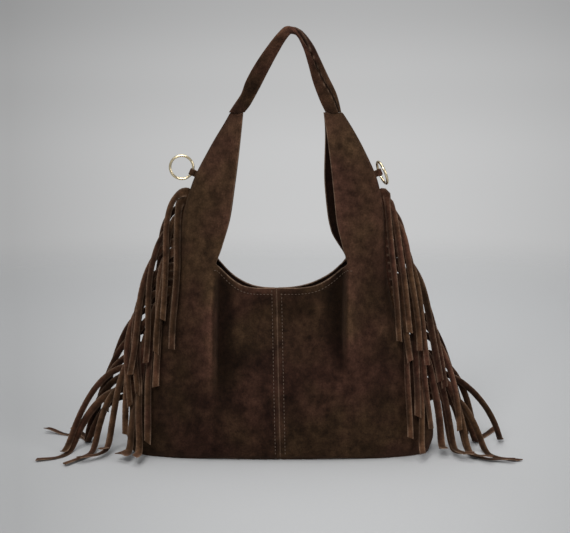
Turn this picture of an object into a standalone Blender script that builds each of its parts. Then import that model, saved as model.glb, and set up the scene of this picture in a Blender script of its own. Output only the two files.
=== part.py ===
# A slouchy suede shoulder bag with long fringes down both side seams.
#
# Frame: the origin is on the floor under the middle of the base, +X is to the right as the bag is
# looked at from the front, -Y is the front, +Z is up. Metres throughout.

import math

import bmesh
import bpy
from mathutils import Matrix, Vector

# Suede, lining and clearances
SUEDE = 0.0016              # thickness of the panels
HEM = 0.0030                # turned edge round the mouth, two thicknesses of suede
LINING = 0.0008             # thickness of the lining
TOUCH = 0.0003              # clearance between pieces that touch
LINING_EASE = 0.0005        # room between the panels and the lining along the mouth and the floor
LINING_SNAP_EASE = 0.0004   # extra room there beside the snap
LINING_SLACK = 0.0105       # room between them in the belly, where the lining hangs free

# Body of the bag
BASE_HALF_WIDTH = 0.188     # half the width at the floor
SEAM_SWELL = 0.006          # how far the side seams swell out just above the floor
SEAM_AT_MOUTH = 0.129       # half width at the height of the mouth's corners
SEAM_AT_RING = 0.1145       # half width at the rings
TIP_OUTER = 0.0685          # outer edge of a horn's tip
TIP_INNER = 0.0490          # inner edge of a horn's tip
MOUTH_HEIGHT = 0.209        # lowest point of the front edge of the mouth
BACK_MOUTH_DROP = 0.008     # how much lower the back edge sags
CORNER_HEIGHT = 0.242       # where the mouth's edge turns up into a horn
CORNER_X = 0.080            # half width of the mouth there
RING_HEIGHT = 0.350         # height of the ring's tab on the side seam
TIP_HEIGHT = 0.425          # top of the horns, where the strap is sewn on
HORN_LEAN = 0.008           # the horns lean to the right by this much at their tips
SEAM_SLANT = -0.005         # the centre seam slants to the left by this much at the mouth

# Depths, from the middle plane to the outside of a panel
BASE_HALF_DEPTH = 0.047
BELLY_HALF_DEPTH = 0.057
SNAP_HALF_DEPTH = 0.0075    # where the snap draws the mouth together
CORNER_HALF_DEPTH = 0.027
TIP_HALF_DEPTH = 0.0068

# Panel mesh
COLUMNS = 12                # from the centre seam to the side seam
CORNER_COLUMN = 7           # the column that ends at the mouth's corner
WALL_ROWS = (0.0, 0.03, 0.09, 0.18, 0.28, 0.38, 0.48, 0.58, 0.68, 0.78, 0.87, 0.94, 1.0)
HORN_STEPS = 10             # rows from the mouth's corner to the tip

# Fringe
FRINGE_THICKNESS = 0.0011
FRINGE_GAP = 0.0055         # the fringe ends this far below the ring's lower edge
FRINGE_BOTTOM = 0.052       # height of its lower end
HEADER_OUT = 0.0045         # the uncut band that stands out of the seam
STRIP_WIDTH = 0.0094
STRIP_CUT = 0.0010          # width of the cut between two strips
STRIP_LENGTH = 0.176
LENGTH_SPREAD = 0.05
STRIP_SEGMENTS = 10
STEP = 0.001                # step along a strip while its line is worked out
SECTION_EVERY = 0.011       # weight of one such step beside its turn, when sections are spread out
STEP_ASIDE = 0.0021         # a strip first steps this far to the front or the back, past the next root
STEP_LENGTH = 0.008         # over this length
LAYER_ASIDE = 0.0008        # and stands this much further out for each root that it has passed
SEAM_CLEAR = 0.0012         # the strips' edges stay this far outside the side seam
FALL = 80.5                 # degrees below level at which the strips hang
FALL_SPREAD = 2.0
FLOOR_BEND = 0.016          # radius of the bend where a strip meets the floor
FLOOR_TURN_RADIUS = 0.034   # the strips on the floor then turn outward in bends of this radius
FLOOR_LAYER = 0.0019        # and lie on each other, one layer each

# How gently a strip bends down, as a length, over the share of the way down the comb: for the
# strips that stay close to the seam, and for those that stand off on the left and on the right
DROOP_CLOSE = ((0.0, 0.0088), (0.35, 0.0096), (0.70, 0.0112), (1.0, 0.0130))
DROOP_LEFT = ((0.0, 0.021), (0.20, 0.026), (0.60, 0.028), (1.0, 0.036))
DROOP_RIGHT = ((0.0, 0.0085), (0.10, 0.015), (0.25, 0.024), (0.60, 0.032), (1.0, 0.046))
STAND_OFF_LEFT = (1.0, 0.0, 0.75, 0.3)
STAND_OFF_RIGHT = (0.4, 0.0, 1.0, 0.15)
FLOOR_TURN_LEFT = 34.0      # degrees from straight out in which the strips on the floor come to lie
FLOOR_TURN_RIGHT = 24.0
FLOOR_TURN_SPREAD = 20.0

# Rings and tabs
RING_RADIUS = 0.0142        # to the middle of the wire
WIRE_RADIUS = 0.0016
TAB_WIDTH = 0.008
TAB_MARGIN = 0.003          # the rows of a horn stand this far above and below the tab
TAB_THICKNESS = 0.0011
TAB_TUCK = 0.0012           # how far the tab's legs go into the seam
TAB_NECK = 0.0015           # from the seam to the loop
RIGHT_RING_TURN = 78.0      # degrees that the right ring has fallen back against its horn

# Base and snap
BASE_THICKNESS = 0.0018
BASE_LIFT = 0.0026          # the panels' lower edges lift off the floor by this much in two places
SNAP_RADIUS = 0.009
SNAP_HEIGHT = 0.186
STUD_RADIUS = 0.0030
STUD_LENGTH = 0.0014

# Strap
STRAP_STATIONS = 30
STRAP_SIDES = 12
STRAP_THICKNESS = 0.0088    # of the folded band, away from its ends
STRAP_APEX = 0.5240         # height of the middle of the strap at its highest point

COLOURS = {
    "suede": (0.075, 0.040, 0.026, 1.0),
    "strap": (0.085, 0.046, 0.030, 1.0),
    "fringe": (0.092, 0.050, 0.033, 1.0),
    "lining": (0.010, 0.009, 0.009, 1.0),
    "gold": (0.80, 0.66, 0.42, 1.0),
    "nickel": (0.62, 0.60, 0.57, 1.0),
}


def clear_scene():
    for old in list(bpy.data.objects):
        bpy.data.objects.remove(old, do_unlink=True)


def make_material(name, colour, roughness, metallic=0.0):
    material = bpy.data.materials.new(name)
    material.use_nodes = True
    shader = material.node_tree.nodes["Principled BSDF"]
    shader.inputs["Base Color"].default_value = colour
    shader.inputs["Roughness"].default_value = roughness
    shader.inputs["Metallic"].default_value = metallic
    material.diffuse_color = colour
    return material


def add_object(name, vertices, faces, material, smooth_angle=40.0):
    mesh = bpy.data.meshes.new(name)
    mesh.from_pydata([tuple(v) for v in vertices], [], faces)
    mesh.validate()
    work = bmesh.new()
    work.from_mesh(mesh)
    bmesh.ops.recalc_face_normals(work, faces=work.faces)
    if work.calc_volume(signed=True) < 0.0:
        bmesh.ops.reverse_faces(work, faces=work.faces)
    work.to_mesh(mesh)
    work.free()
    mesh.materials.append(material)
    mesh.shade_smooth()
    mesh.set_sharp_from_angle(angle=math.radians(smooth_angle))
    placed = bpy.data.objects.new(name, mesh)
    bpy.context.collection.objects.link(placed)
    return placed


def clamp(value, low=0.0, high=1.0):
    return max(low, min(high, value))


def smooth(value):
    value = clamp(value)
    return value * value * (3.0 - 2.0 * value)


def mix(a, b, share):
    return a + (b - a) * share


def curve_through(points, at):
    """Value at a place on a smooth curve through (place, value) points, with no overshoot."""
    if at <= points[0][0]:
        return points[0][1]
    if at >= points[-1][0]:
        return points[-1][1]
    slopes = [(b[1] - a[1]) / (b[0] - a[0]) for a, b in zip(points, points[1:])]
    tangents = [slopes[0]]
    for left, right in zip(slopes, slopes[1:]):
        tangents.append(0.0 if left * right <= 0.0 else 2.0 * left * right / (left + right))
    tangents.append(slopes[-1])
    for index in range(len(points) - 1):
        start, end = points[index], points[index + 1]
        if at <= end[0]:
            span = end[0] - start[0]
            t = (at - start[0]) / span
            h = 1.0 - t
            return (start[1] * h * h * (1.0 + 2.0 * t) + tangents[index] * span * t * h * h
                    + end[1] * t * t * (1.0 + 2.0 * h) - tangents[index + 1] * span * h * t * t)
    return points[-1][1]


# Outline of the bag, as half widths over the height
def seam_x(z):
    """Half width at the side seams, which run from the floor to the horns' tips."""
    points = (
        (0.0, BASE_HALF_WIDTH),
        (0.022, BASE_HALF_WIDTH + SEAM_SWELL),
        (0.28 * CORNER_HEIGHT, BASE_HALF_WIDTH - 0.004),
        (0.58 * CORNER_HEIGHT, mix(BASE_HALF_WIDTH, SEAM_AT_MOUTH, 0.58)),
        (CORNER_HEIGHT, SEAM_AT_MOUTH),
        (mix(CORNER_HEIGHT, RING_HEIGHT, 0.5), mix(SEAM_AT_MOUTH, SEAM_AT_RING, 0.32)),
        (RING_HEIGHT - 0.012, SEAM_AT_RING),
        (mix(RING_HEIGHT, TIP_HEIGHT, 0.42), mix(SEAM_AT_RING, TIP_OUTER, 0.44)),
        (TIP_HEIGHT, TIP_OUTER),
    )
    return curve_through(points, z)


def horn_inner_x(z):
    """Half width between the horns, along their inner edges."""
    height = (z - CORNER_HEIGHT) / (TIP_HEIGHT - CORNER_HEIGHT)
    drawn_in = curve_through(((0.0, 0.0), (0.12, 0.22), (0.28, 0.47), (0.5, 0.64), (1.0, 1.0)), height)
    return mix(CORNER_X, TIP_INNER, drawn_in)


def mouth_z(x, face):
    """Height of the mouth's edge: nearly level in the middle, rising to the corners."""
    low = MOUTH_HEIGHT - (BACK_MOUTH_DROP if face > 0 else 0.0)
    return mix(low, CORNER_HEIGHT, clamp(x / CORNER_X) ** 3)


def lean(x, z):
    """Sideways lean: the horns lean right, and the centre seam slants left."""
    horns = HORN_LEAN * smooth((z - 0.8 * MOUTH_HEIGHT) / (TIP_HEIGHT - 0.8 * MOUTH_HEIGHT))
    middle = SEAM_SLANT * clamp(z / MOUTH_HEIGHT) * (1.0 - smooth(abs(x) / CORNER_X))
    return horns * smooth(abs(x) / CORNER_X) + middle


# Depth of the bag, and the soft folds that the photograph shows
def middle_depth(z):
    points = (
        (0.0, BASE_HALF_DEPTH),
        (0.007, mix(BASE_HALF_DEPTH, BELLY_HALF_DEPTH, 0.62)),
        (0.035, BELLY_HALF_DEPTH),
        (0.085, 0.88 * BELLY_HALF_DEPTH),
        (0.125, 0.64 * BELLY_HALF_DEPTH),
        (0.155, mix(SNAP_HALF_DEPTH, BELLY_HALF_DEPTH, 0.22)),
        (SNAP_HEIGHT - SNAP_RADIUS - 0.002, SNAP_HALF_DEPTH),
        (MOUTH_HEIGHT, SNAP_HALF_DEPTH),
    )
    return curve_through(points, z)


def side_depth(z):
    points = (
        (0.0, BASE_HALF_DEPTH),
        (0.007, mix(BASE_HALF_DEPTH, BELLY_HALF_DEPTH, 0.62)),
        (0.035, BELLY_HALF_DEPTH),
        (0.11, 0.80 * BELLY_HALF_DEPTH),
        (0.18, mix(CORNER_HALF_DEPTH, BELLY_HALF_DEPTH, 0.30)),
        (CORNER_HEIGHT, CORNER_HALF_DEPTH),
        (RING_HEIGHT, 0.90 * CORNER_HALF_DEPTH),
        (mix(RING_HEIGHT, TIP_HEIGHT, 0.6), mix(TIP_HALF_DEPTH, CORNER_HALF_DEPTH, 0.45)),
        (TIP_HEIGHT, TIP_HALF_DEPTH),
    )
    return curve_through(points, z)


# Each fold: side (-1 left, 1 right), place across, width, lowest and highest point, and how far it
# stands out (ridges) or sinks in (valleys). The back has the same folds, half as deep.
FOLDS = (
    (-1, 0.0865, 0.0100, 0.050, 0.262, 0.0075),
    (-1, 0.0630, 0.0110, 0.040, 0.170, -0.0090),
    (1, 0.0840, 0.0095, 0.030, 0.268, 0.0075),
    (1, 0.0620, 0.0095, 0.090, 0.212, -0.0085),
    (-1, 0.0300, 0.0140, 0.030, 0.150, 0.0030),
    (1, 0.0330, 0.0140, 0.020, 0.130, 0.0035),
    (-1, 0.1250, 0.0150, 0.010, 0.150, -0.0045),
    (1, 0.1300, 0.0160, 0.015, 0.160, -0.0045),
)


def fold_depth(x, z, face):
    total = 0.0
    for side, place, width, low, high, height in FOLDS:
        if side * x <= 0.0:
            continue
        across = math.exp(-((abs(x) - place) / width) ** 2)
        along = smooth((z - low) / (0.35 * (high - low))) * smooth((high - z) / (0.35 * (high - low)))
        total += height * across * along
    return total * (1.0 if face < 0 else 0.5)


def seam_gap(z):
    """Half the gap between the front and back panels at a side seam: room for what is sewn in."""
    fringe = FRINGE_THICKNESS / 2 + TOUCH
    tab = TAB_THICKNESS + TOUCH * 1.5
    top = TOUCH / 2
    reach = TAB_WIDTH / 2 + 0.002
    if z <= fringe_top() + 0.001:
        return fringe
    if z <= RING_HEIGHT + reach:
        return tab
    return mix(tab, top, smooth((z - RING_HEIGHT - reach) / 0.02))


def wall_point(x, z, face):
    """A point on the outside of the bag. x is signed, face is -1 at the front and 1 at the back."""
    middle = smooth(abs(x) / CORNER_X)
    depth = mix(middle_depth(z), side_depth(z), middle)
    power = mix(3.0, 2.3, clamp(z / MOUTH_HEIGHT))
    across = clamp(abs(x) / seam_x(z))
    rounding = (1.0 - across ** power) ** (1.0 / power)
    y = depth * rounding + fold_depth(x, z, face) * smooth(rounding / 0.6)
    y = max(y, seam_gap(z))
    return Vector((x + lean(x, z), face * y, z))


def floor_lift(x):
    """The lower edge lifts off the floor a little, left and right of the middle."""
    return BASE_LIFT * math.exp(-((abs(x) - 0.36 * BASE_HALF_WIDTH) / 0.022) ** 2)


def fringe_top():
    return RING_HEIGHT - RING_RADIUS * 0.9 - FRINGE_GAP


def horn_heights():
    """Row heights in a horn, with one row at each end of the ring's tab."""
    low, high = RING_HEIGHT - TAB_WIDTH / 2 - TAB_MARGIN, RING_HEIGHT + TAB_WIDTH / 2 + TAB_MARGIN
    below = HORN_STEPS // 2
    above = HORN_STEPS - below - 1
    heights = [mix(CORNER_HEIGHT, low, step / below) for step in range(1, below + 1)]
    heights += [mix(high, TIP_HEIGHT, step / above) for step in range(above + 1)]
    return heights


def wall_grid(side, face):
    """Grid of points over one quarter of the bag: rows by columns, None where the mouth is open."""
    rows = []
    top_x = []
    top_z = []
    for column in range(COLUMNS + 1):
        if column <= CORNER_COLUMN:
            x = CORNER_X * column / CORNER_COLUMN
            top_x.append(x)
            top_z.append(mouth_z(x, face))
        else:
            across = (column - CORNER_COLUMN) / (COLUMNS - CORNER_COLUMN)
            top_x.append(mix(CORNER_X, seam_x(CORNER_HEIGHT), 1.0 - (1.0 - across) ** 1.5))
            top_z.append(CORNER_HEIGHT)
    for share in WALL_ROWS:
        row = []
        for column in range(COLUMNS + 1):
            bottom_share = 1.0 - (1.0 - column / COLUMNS) ** 1.45
            top_share = top_x[column] / seam_x(top_z[column])
            bottom_z = floor_lift(bottom_share * BASE_HALF_WIDTH)
            z = mix(bottom_z, top_z[column], share)
            x = seam_x(z) * mix(bottom_share, top_share, smooth(share))
            if column == 0:
                x = TOUCH / 2
            row.append(wall_point(side * x, z, face))
        rows.append(row)
    for z in horn_heights():
        row = [None] * CORNER_COLUMN
        for column in range(CORNER_COLUMN, COLUMNS + 1):
            across = (column - CORNER_COLUMN) / (COLUMNS - CORNER_COLUMN)
            x = mix(horn_inner_x(z), seam_x(z), 1.0 - (1.0 - across) ** 1.5)
            row.append(wall_point(side * x, z, face))
        rows.append(row)
    return rows


def grid_normals(grid, side, face):
    """Outward normals of a wall grid, kept square to the seams and to the level edges."""
    last_row = len(grid) - 1
    normals = []
    for r, row in enumerate(grid):
        out = []
        for c, point in enumerate(row):
            if point is None:
                out.append(None)
                continue

            def near(dr, dc):
                rr, cc = r + dr, c + dc
                if 0 <= rr <= last_row and 0 <= cc <= COLUMNS and grid[rr][cc] is not None:
                    return grid[rr][cc]
                return point

            up = near(1, 0) - near(-1, 0)
            along = near(0, 1) - near(0, -1)
            normal = along.cross(up) * (side if face < 0 else -side)
            if c == 0:
                normal.x = 0.0
            if c == COLUMNS:
                normal.y = 0.0
            if r == 0 or r == last_row:
                normal.z = 0.0
            out.append(normal.normalized())
        normals.append(out)
    return normals


def halves(quad, points):
    """Two triangles across the shorter diagonal. A triangle stays as it is."""
    if len(quad) == 3:
        return (tuple(quad),)
    a, b, c, d = quad
    if (points[a] - points[c]).length <= (points[b] - points[d]).length:
        return (a, b, c), (a, c, d)
    return (a, b, d), (b, c, d)


def skin_between(outer, inner, quads):
    """Closed skin between two like layers of points, with walls round every open edge."""
    count = len(outer)
    faces = []
    used = set()
    for quad in quads:
        for triangle in halves(quad, outer):
            faces.append(triangle)
            faces.append(tuple(index + count for index in reversed(triangle)))
        used.update(zip(quad, quad[1:] + quad[:1]))
    for a, b in sorted(used):
        if (b, a) not in used:
            faces.append((b, a, a + count, b + count))
    return list(outer) + list(inner), faces


def make_panel(name, side, face, material):
    grid = wall_grid(side, face)
    normals = grid_normals(grid, side, face)
    outer, inner, number = [], [], {}
    wall_top = len(WALL_ROWS) - 1
    for r, row in enumerate(grid):
        for c, point in enumerate(row):
            if point is None:
                continue
            number[(r, c)] = len(outer)
            on_hem = (r == wall_top and c <= CORNER_COLUMN) or (r > wall_top and c == CORNER_COLUMN)
            inside = point - normals[r][c] * (HEM if on_hem and r < len(grid) - 2 else SUEDE)
            if c == 0:
                inside.x = point.x
            outer.append(point)
            inner.append(inside)
    quads = []
    for r in range(len(grid) - 1):
        for c in range(COLUMNS):
            corners = [(r, c), (r, c + 1), (r + 1, c + 1), (r + 1, c)]
            if all(corner in number for corner in corners):
                quad = [number[corner] for corner in corners]
                quads.append(quad if side * face < 0 else quad[::-1])
    vertices, faces = skin_between(outer, inner, quads)
    return add_object(name, vertices, faces, material)


LINING_COLUMNS = (0, 1, 2, 4, 6, 8, 10, 12)
LINING_WALL_ROWS = (1, 2, 4, 6, 8, 9, 10, 11)
LINING_SLACK_SHARE = (0.0, 0.55, 1.0, 1.0, 1.0, 0.75, 0.45, 0.10)
LINING_HORN_ROWS = (14, 16, 18, 19)
LINING_SEAM_ROOM = 0.0045
LINING_FLOOR_ROOM = 0.0065
LINING_SNAP_ROW = 9         # from this row up, the lining is held flat beside the snap
LINING_MOUTH_COLUMN = 8     # the lining's edge in a horn, one column in from the horn's edge


def make_lining(material):
    """The black pouch: the inside of the panels at a little distance, closed by a flat floor."""
    floor = BASE_THICKNESS + TOUCH
    outer, inner, number, quads = [], [], {}, []
    rows = LINING_WALL_ROWS + LINING_HORN_ROWS
    for face in (-1, 1):
        for side in (-1, 1):
            grid = wall_grid(side, face)
            normals = grid_normals(grid, side, face)
            for r in rows:
                for c in LINING_COLUMNS:
                    if r > LINING_WALL_ROWS[-1] and c < LINING_MOUTH_COLUMN:
                        continue
                    key = (r, c, side if c else 0, face if c < COLUMNS else 0)
                    if key not in number:
                        number[key] = len(outer)
                        normal = normals[r][c].copy()
                        slack = dict(zip(LINING_WALL_ROWS, LINING_SLACK_SHARE)).get(r, 0.10)
                        if r >= LINING_SNAP_ROW and c <= LINING_COLUMNS[2]:
                            slack = LINING_SNAP_EASE / LINING_SLACK
                        depth = SUEDE + LINING_EASE + LINING_SLACK * slack
                        if c == COLUMNS:
                            depth = SUEDE + LINING_SEAM_ROOM
                        if r == LINING_WALL_ROWS[0]:
                            depth += LINING_FLOOR_ROOM
                        point = grid[r][c] - normal * depth
                        second = grid[r][c] - normal * (depth + LINING)
                        if c == 0:
                            point.x = lean(0.0, grid[r][c].z)
                            second.x = point.x
                        if c == COLUMNS:
                            point.y = 0.0
                            second.y = 0.0
                        if r == LINING_WALL_ROWS[0]:
                            point.z = floor
                            second.z = floor + LINING
                        outer.append(point)
                        inner.append(second)
            for r0, r1 in zip(rows, rows[1:]):
                for c0, c1 in zip(LINING_COLUMNS, LINING_COLUMNS[1:]):
                    if r1 > LINING_WALL_ROWS[-1] and c0 < LINING_MOUTH_COLUMN:
                        continue
                    corners = ((r0, c0), (r0, c1), (r1, c1), (r1, c0))
                    quad = [number[(r, c, side if c else 0, face if c < COLUMNS else 0)]
                            for r, c in corners]
                    quads.append(quad if side * face < 0 else quad[::-1])
    low = LINING_WALL_ROWS[0]
    for side in (-1, 1):
        for c0, c1 in zip(LINING_COLUMNS, LINING_COLUMNS[1:]):
            front0 = number[(low, c0, side if c0 else 0, -1)]
            back0 = number[(low, c0, side if c0 else 0, 1)]
            front1 = number[(low, c1, side, -1 if c1 < COLUMNS else 0)]
            back1 = number[(low, c1, side, 1 if c1 < COLUMNS else 0)]
            quad = [front0, back0, back1, front1] if c1 < COLUMNS else [front0, back0, front1]
            quads.append(quad if side > 0 else quad[::-1])
    vertices, faces = skin_between(outer, inner, quads)
    return add_object("lining", vertices, faces, material)


def make_base(material):
    """Flat bottom between the lower edges of the panels."""
    outline = []
    for face, side, order in ((-1, -1, -1), (-1, 1, 1), (1, 1, -1), (1, -1, 1)):
        grid = wall_grid(side, face)
        normals = grid_normals(grid, side, face)
        columns = range(COLUMNS + 1) if order > 0 else range(COLUMNS, -1, -1)
        for c in columns:
            if c == 0 or (c == COLUMNS and order < 0):
                continue
            point = grid[0][c] - normals[0][c] * (SUEDE + TOUCH)
            if c == COLUMNS:
                point.y = 0.0
            outline.append((point.x, point.y))
    count = len(outline)
    vertices = [(x, y, 0.0) for x, y in outline] + [(x, y, BASE_THICKNESS) for x, y in outline]
    faces = [tuple(range(count)), tuple(range(2 * count - 1, count - 1, -1))]
    for i in range(count):
        j = (i + 1) % count
        faces.append((i, i + count, j + count, j))
    return add_object("base_panel", vertices, faces, material)


def seam_place(side, z):
    x = side * seam_x(z)
    return Vector((x + lean(x, z), 0.0, z))


def seam_down(side, z):
    step = 0.001
    return (seam_place(side, z - step) - seam_place(side, z + step)).normalized()


def seam_out(side, z):
    """Unit vector square to the side seam, pointing away from the bag."""
    down = seam_down(side, z)
    return Vector((-down.z, 0.0, down.x)) * side


def seam_heights(high, low, pitch):
    """Heights along a side seam, one pitch of seam length apart."""
    heights = [high]
    travelled = 0.0
    z = high
    step = 0.0005
    while z > low:
        travelled += (seam_place(1, z) - seam_place(1, z - step)).length
        z -= step
        if travelled >= pitch:
            heights.append(z)
            travelled -= pitch
    return heights


def roots_passed(heights, z):
    """How many roots lie above this height, with parts of one in between."""
    for index in range(len(heights) - 1):
        if z > heights[index + 1] or index == len(heights) - 2:
            return index + (heights[index] - z) / (heights[index] - heights[index + 1])
    return 0.0


def strip_pattern(side, number, count, z_root, lie):
    """Middle line of one strip drawn flat in the plane of the seams, in steps from root to tip.

    What lies deeper than the bend at the floor is drawn on below it.
    """
    out = seam_out(side, z_root)
    place = seam_place(side, z_root) + out * HEADER_OUT
    stand_off = STAND_OFF_LEFT if side < 0 else STAND_OFF_RIGHT
    way_down = number / (count - 1)
    far_droop = curve_through(DROOP_LEFT if side < 0 else DROOP_RIGHT, way_down)
    droop = mix(curve_through(DROOP_CLOSE, way_down), far_droop, stand_off[(number // 2) % len(stand_off)])
    length = STRIP_LENGTH * (1.0 + LENGTH_SPREAD * math.sin(number * 3.7 + 1.3 * side))
    fall = -math.radians(FALL + FALL_SPREAD * math.sin(number * 2.1 + side))
    first = math.atan2(out.z, out.x * side)
    floor_turn = FLOOR_TURN_LEFT if side < 0 else FLOOR_TURN_RIGHT
    floor_heading = -math.radians(floor_turn + FLOOR_TURN_SPREAD * math.sin(number * 1.7 + side))
    bend_end = lie + FLOOR_BEND * (1.0 - math.pi / 2)
    points = [place.copy()]
    heading = first
    for index in range(1, int(length / STEP) + 1):
        if place.z > bend_end:
            heading = fall + (first - fall) * math.exp(-index * STEP / droop)
        else:
            heading = min(heading + STEP / FLOOR_TURN_RADIUS, floor_heading)
        place = place + Vector((math.cos(heading) * side, 0.0, math.sin(heading))) * STEP
        if place.z > lie:
            seam = seam_place(side, place.z)
            nearest = abs(seam.x) + (STRIP_WIDTH / 2 + SEAM_CLEAR) / abs(seam_out(side, place.z).x)
            place.x = side * max(place.x * side, nearest)
        points.append(place.copy())
    return points


def strip_sections(side, number, heights, z_root):
    """Corners of the cross-sections of one strip.

    Even strips hang in front of the seam and odd ones behind it. A strip stands out further for each
    root that it has passed, so they never cross. On the floor the lower strips lie under the others.
    """
    count = len(heights) - 1
    face = -1 if number % 2 == 0 else 1
    lie = FRINGE_THICKNESS / 2 + TOUCH + FLOOR_LAYER * ((count - 1 - number) // 2)
    points = strip_pattern(side, number, count, z_root, lie)
    bend_start = lie + FLOOR_BEND
    last = len(points) - 1
    tangents = [(points[min(i + 3, last)] - points[max(i - 3, 0)]).normalized() for i in range(last + 1)]
    tangents[0] = seam_out(side, z_root)

    def bend_at(z):
        return clamp((bend_start - z) / FLOOR_BEND, 0.0, math.pi / 2)

    def placed(point, travelled, deep):
        bend = bend_at(point.z)
        high = max(point.z, bend_start)
        aside = STEP_ASIDE * smooth(travelled / STEP_LENGTH)
        aside += LAYER_ASIDE * (roots_passed(heights, high) - number - 0.5)
        aside += FLOOR_BEND * (1.0 - math.cos(bend))
        aside += max(bend_start - point.z - FLOOR_BEND * math.pi / 2, 0.0)
        return Vector((point.x, face * aside + deep * math.cos(bend),
                       high - FLOOR_BEND * math.sin(bend) + face * deep * math.sin(bend)))

    weights = [0.0]
    for index in range(last):
        turn = tangents[index].angle(tangents[index + 1], 0.0)
        bent = bend_at(points[index + 1].z) - bend_at(points[index].z)
        weights.append(weights[-1] + SECTION_EVERY + turn + bent)
    stepping = round(STEP_LENGTH / STEP)
    stations = [0, stepping // 2, stepping]
    for third in range(4):
        depth = bend_start - FLOOR_BEND * math.pi / 6 * third
        reached = [i for i in range(stepping + 1, last - 3) if points[i].z <= depth]
        stations += reached[:1]
    stations.append(last)
    while len(stations) <= STRIP_SEGMENTS:
        gap = max(range(2, len(stations) - 1), key=lambda i: weights[stations[i + 1]] - weights[stations[i]])
        middle = (weights[stations[gap]] + weights[stations[gap + 1]]) / 2
        stations.insert(gap + 1, next(i for i, weight in enumerate(weights) if weight >= middle))
    corners = []
    for cursor in stations[1:]:
        tangent = tangents[cursor]
        across = Vector((tangent.z, 0.0, -tangent.x)) * (side * STRIP_WIDTH / 2)
        half = FRINGE_THICKNESS / 2
        corners.append([placed(points[cursor] + across * way, cursor * STEP, deep)
                        for way, deep in ((-1, -half), (1, -half), (1, half), (-1, half))])
    return corners


def make_fringe(name, side, material):
    """A band of suede cut into strips. The band's uncut edge is sewn into the side seam."""
    pitch = STRIP_WIDTH + STRIP_CUT
    heights = seam_heights(fringe_top(), FRINGE_BOTTOM, pitch)
    count = len(heights) - 1
    half = FRINGE_THICKNESS / 2
    vertices, faces = [], []

    def add(point):
        vertices.append(point)
        return len(vertices) - 1

    stations = []
    for index in range(count):
        z_top = heights[index]
        z_next = heights[index + 1]
        z_cut = mix(z_top, z_next, STRIP_WIDTH / pitch)
        stations += [z_top, z_cut]
    rings = []
    for z in stations:
        inner = seam_place(side, z) - seam_out(side, z) * (SUEDE * 0.6)
        outer = seam_place(side, z) + seam_out(side, z) * HEADER_OUT
        rings.append([add(p + Vector((0.0, y, 0.0))) for p, y in
                      ((inner, -half), (outer, -half), (outer, half), (inner, half))])
    faces.append(tuple(rings[0]))
    faces.append(tuple(reversed(rings[-1])))
    for index in range(len(rings) - 1):
        a, b = rings[index], rings[index + 1]
        faces.append((a[0], b[0], b[1], a[1]))
        faces.append((a[2], b[2], b[3], a[3]))
        faces.append((a[3], b[3], b[0], a[0]))
        if index % 2 == 1:
            faces.append((a[1], b[1], b[2], a[2]))
    for index in range(count):
        upper, lower = rings[2 * index], rings[2 * index + 1]
        z_root = (stations[2 * index] + stations[2 * index + 1]) / 2
        last = [upper[1], lower[1], lower[2], upper[2]]
        for corners in strip_sections(side, index, heights, z_root):
            ring = [add(corner) for corner in corners]
            # Both broad faces are split along like diagonals, so that they stay parallel in a twist
            faces.append((last[0], last[1], ring[1]))
            faces.append((last[0], ring[1], ring[0]))
            faces.append((last[3], ring[2], last[2]))
            faces.append((last[3], ring[3], ring[2]))
            faces.append((last[1], last[2], ring[2], ring[1]))
            faces.append((last[3], last[0], ring[0], ring[3]))
            last = ring
        faces.append(tuple(last))
    return add_object(name, vertices, faces, material, smooth_angle=50.0)


# Rings, tabs and snap
def tab_axis(side):
    """Middle of the ring's tab loop, and the direction of the seam there."""
    out = seam_out(side, RING_HEIGHT)
    loop = loop_radius()
    return seam_place(side, RING_HEIGHT) + out * (TAB_NECK + loop + TAB_THICKNESS), out


def loop_radius():
    """Inside radius of the tab's loop: the wire's radius, its bow across the tab, and clearance."""
    bow = RING_RADIUS - math.sqrt(RING_RADIUS ** 2 - (TAB_WIDTH / 2) ** 2)
    return WIRE_RADIUS + bow + TOUCH


def make_tab(name, side, material):
    """A strap of suede folded round the wire, with both legs going into the seam."""
    centre, out = tab_axis(side)
    along = seam_down(side, RING_HEIGHT)
    depth = Vector((0.0, 1.0, 0.0))
    inner_radius = loop_radius()
    outer_radius = inner_radius + TAB_THICKNESS
    reach = (seam_place(side, RING_HEIGHT) - centre).length + TAB_TUCK
    slit = TOUCH / 2

    def arc(radius, leg):
        opening = math.asin(leg / radius)
        steps = 12
        first, last = math.pi - opening, -math.pi + opening
        return [(radius * math.cos(mix(first, last, i / steps)),
                 radius * math.sin(mix(first, last, i / steps))) for i in range(steps + 1)]

    outer_leg = slit + TAB_THICKNESS
    outline = [(-reach, outer_leg)] + arc(outer_radius, outer_leg) + [(-reach, -outer_leg)]
    hollow = [(-reach, slit)] + arc(inner_radius, slit) + [(-reach, -slit)]
    vertices, faces = [], []
    count = len(outline)
    for shift in (-TAB_WIDTH / 2, TAB_WIDTH / 2):
        for ring in (outline, hollow):
            for u, v in ring:
                vertices.append(centre + out * u + depth * v + along * shift)
    for i in range(count - 1):
        o0, o1 = i, i + 1
        h0, h1 = i + count, i + count + 1
        far = 2 * count
        faces.append((o0, o1, h1, h0))
        faces.append((h0 + far, h1 + far, o1 + far, o0 + far))
        faces.append((o1, o0, o0 + far, o1 + far))
        faces.append((h0, h1, h1 + far, h0 + far))
    for i in (0, count - 1):
        ends = (i, i + count, i + count + 2 * count, i + 2 * count)
        faces.append(ends if i == 0 else ends[::-1])
    return add_object(name, vertices, faces, material)


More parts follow.
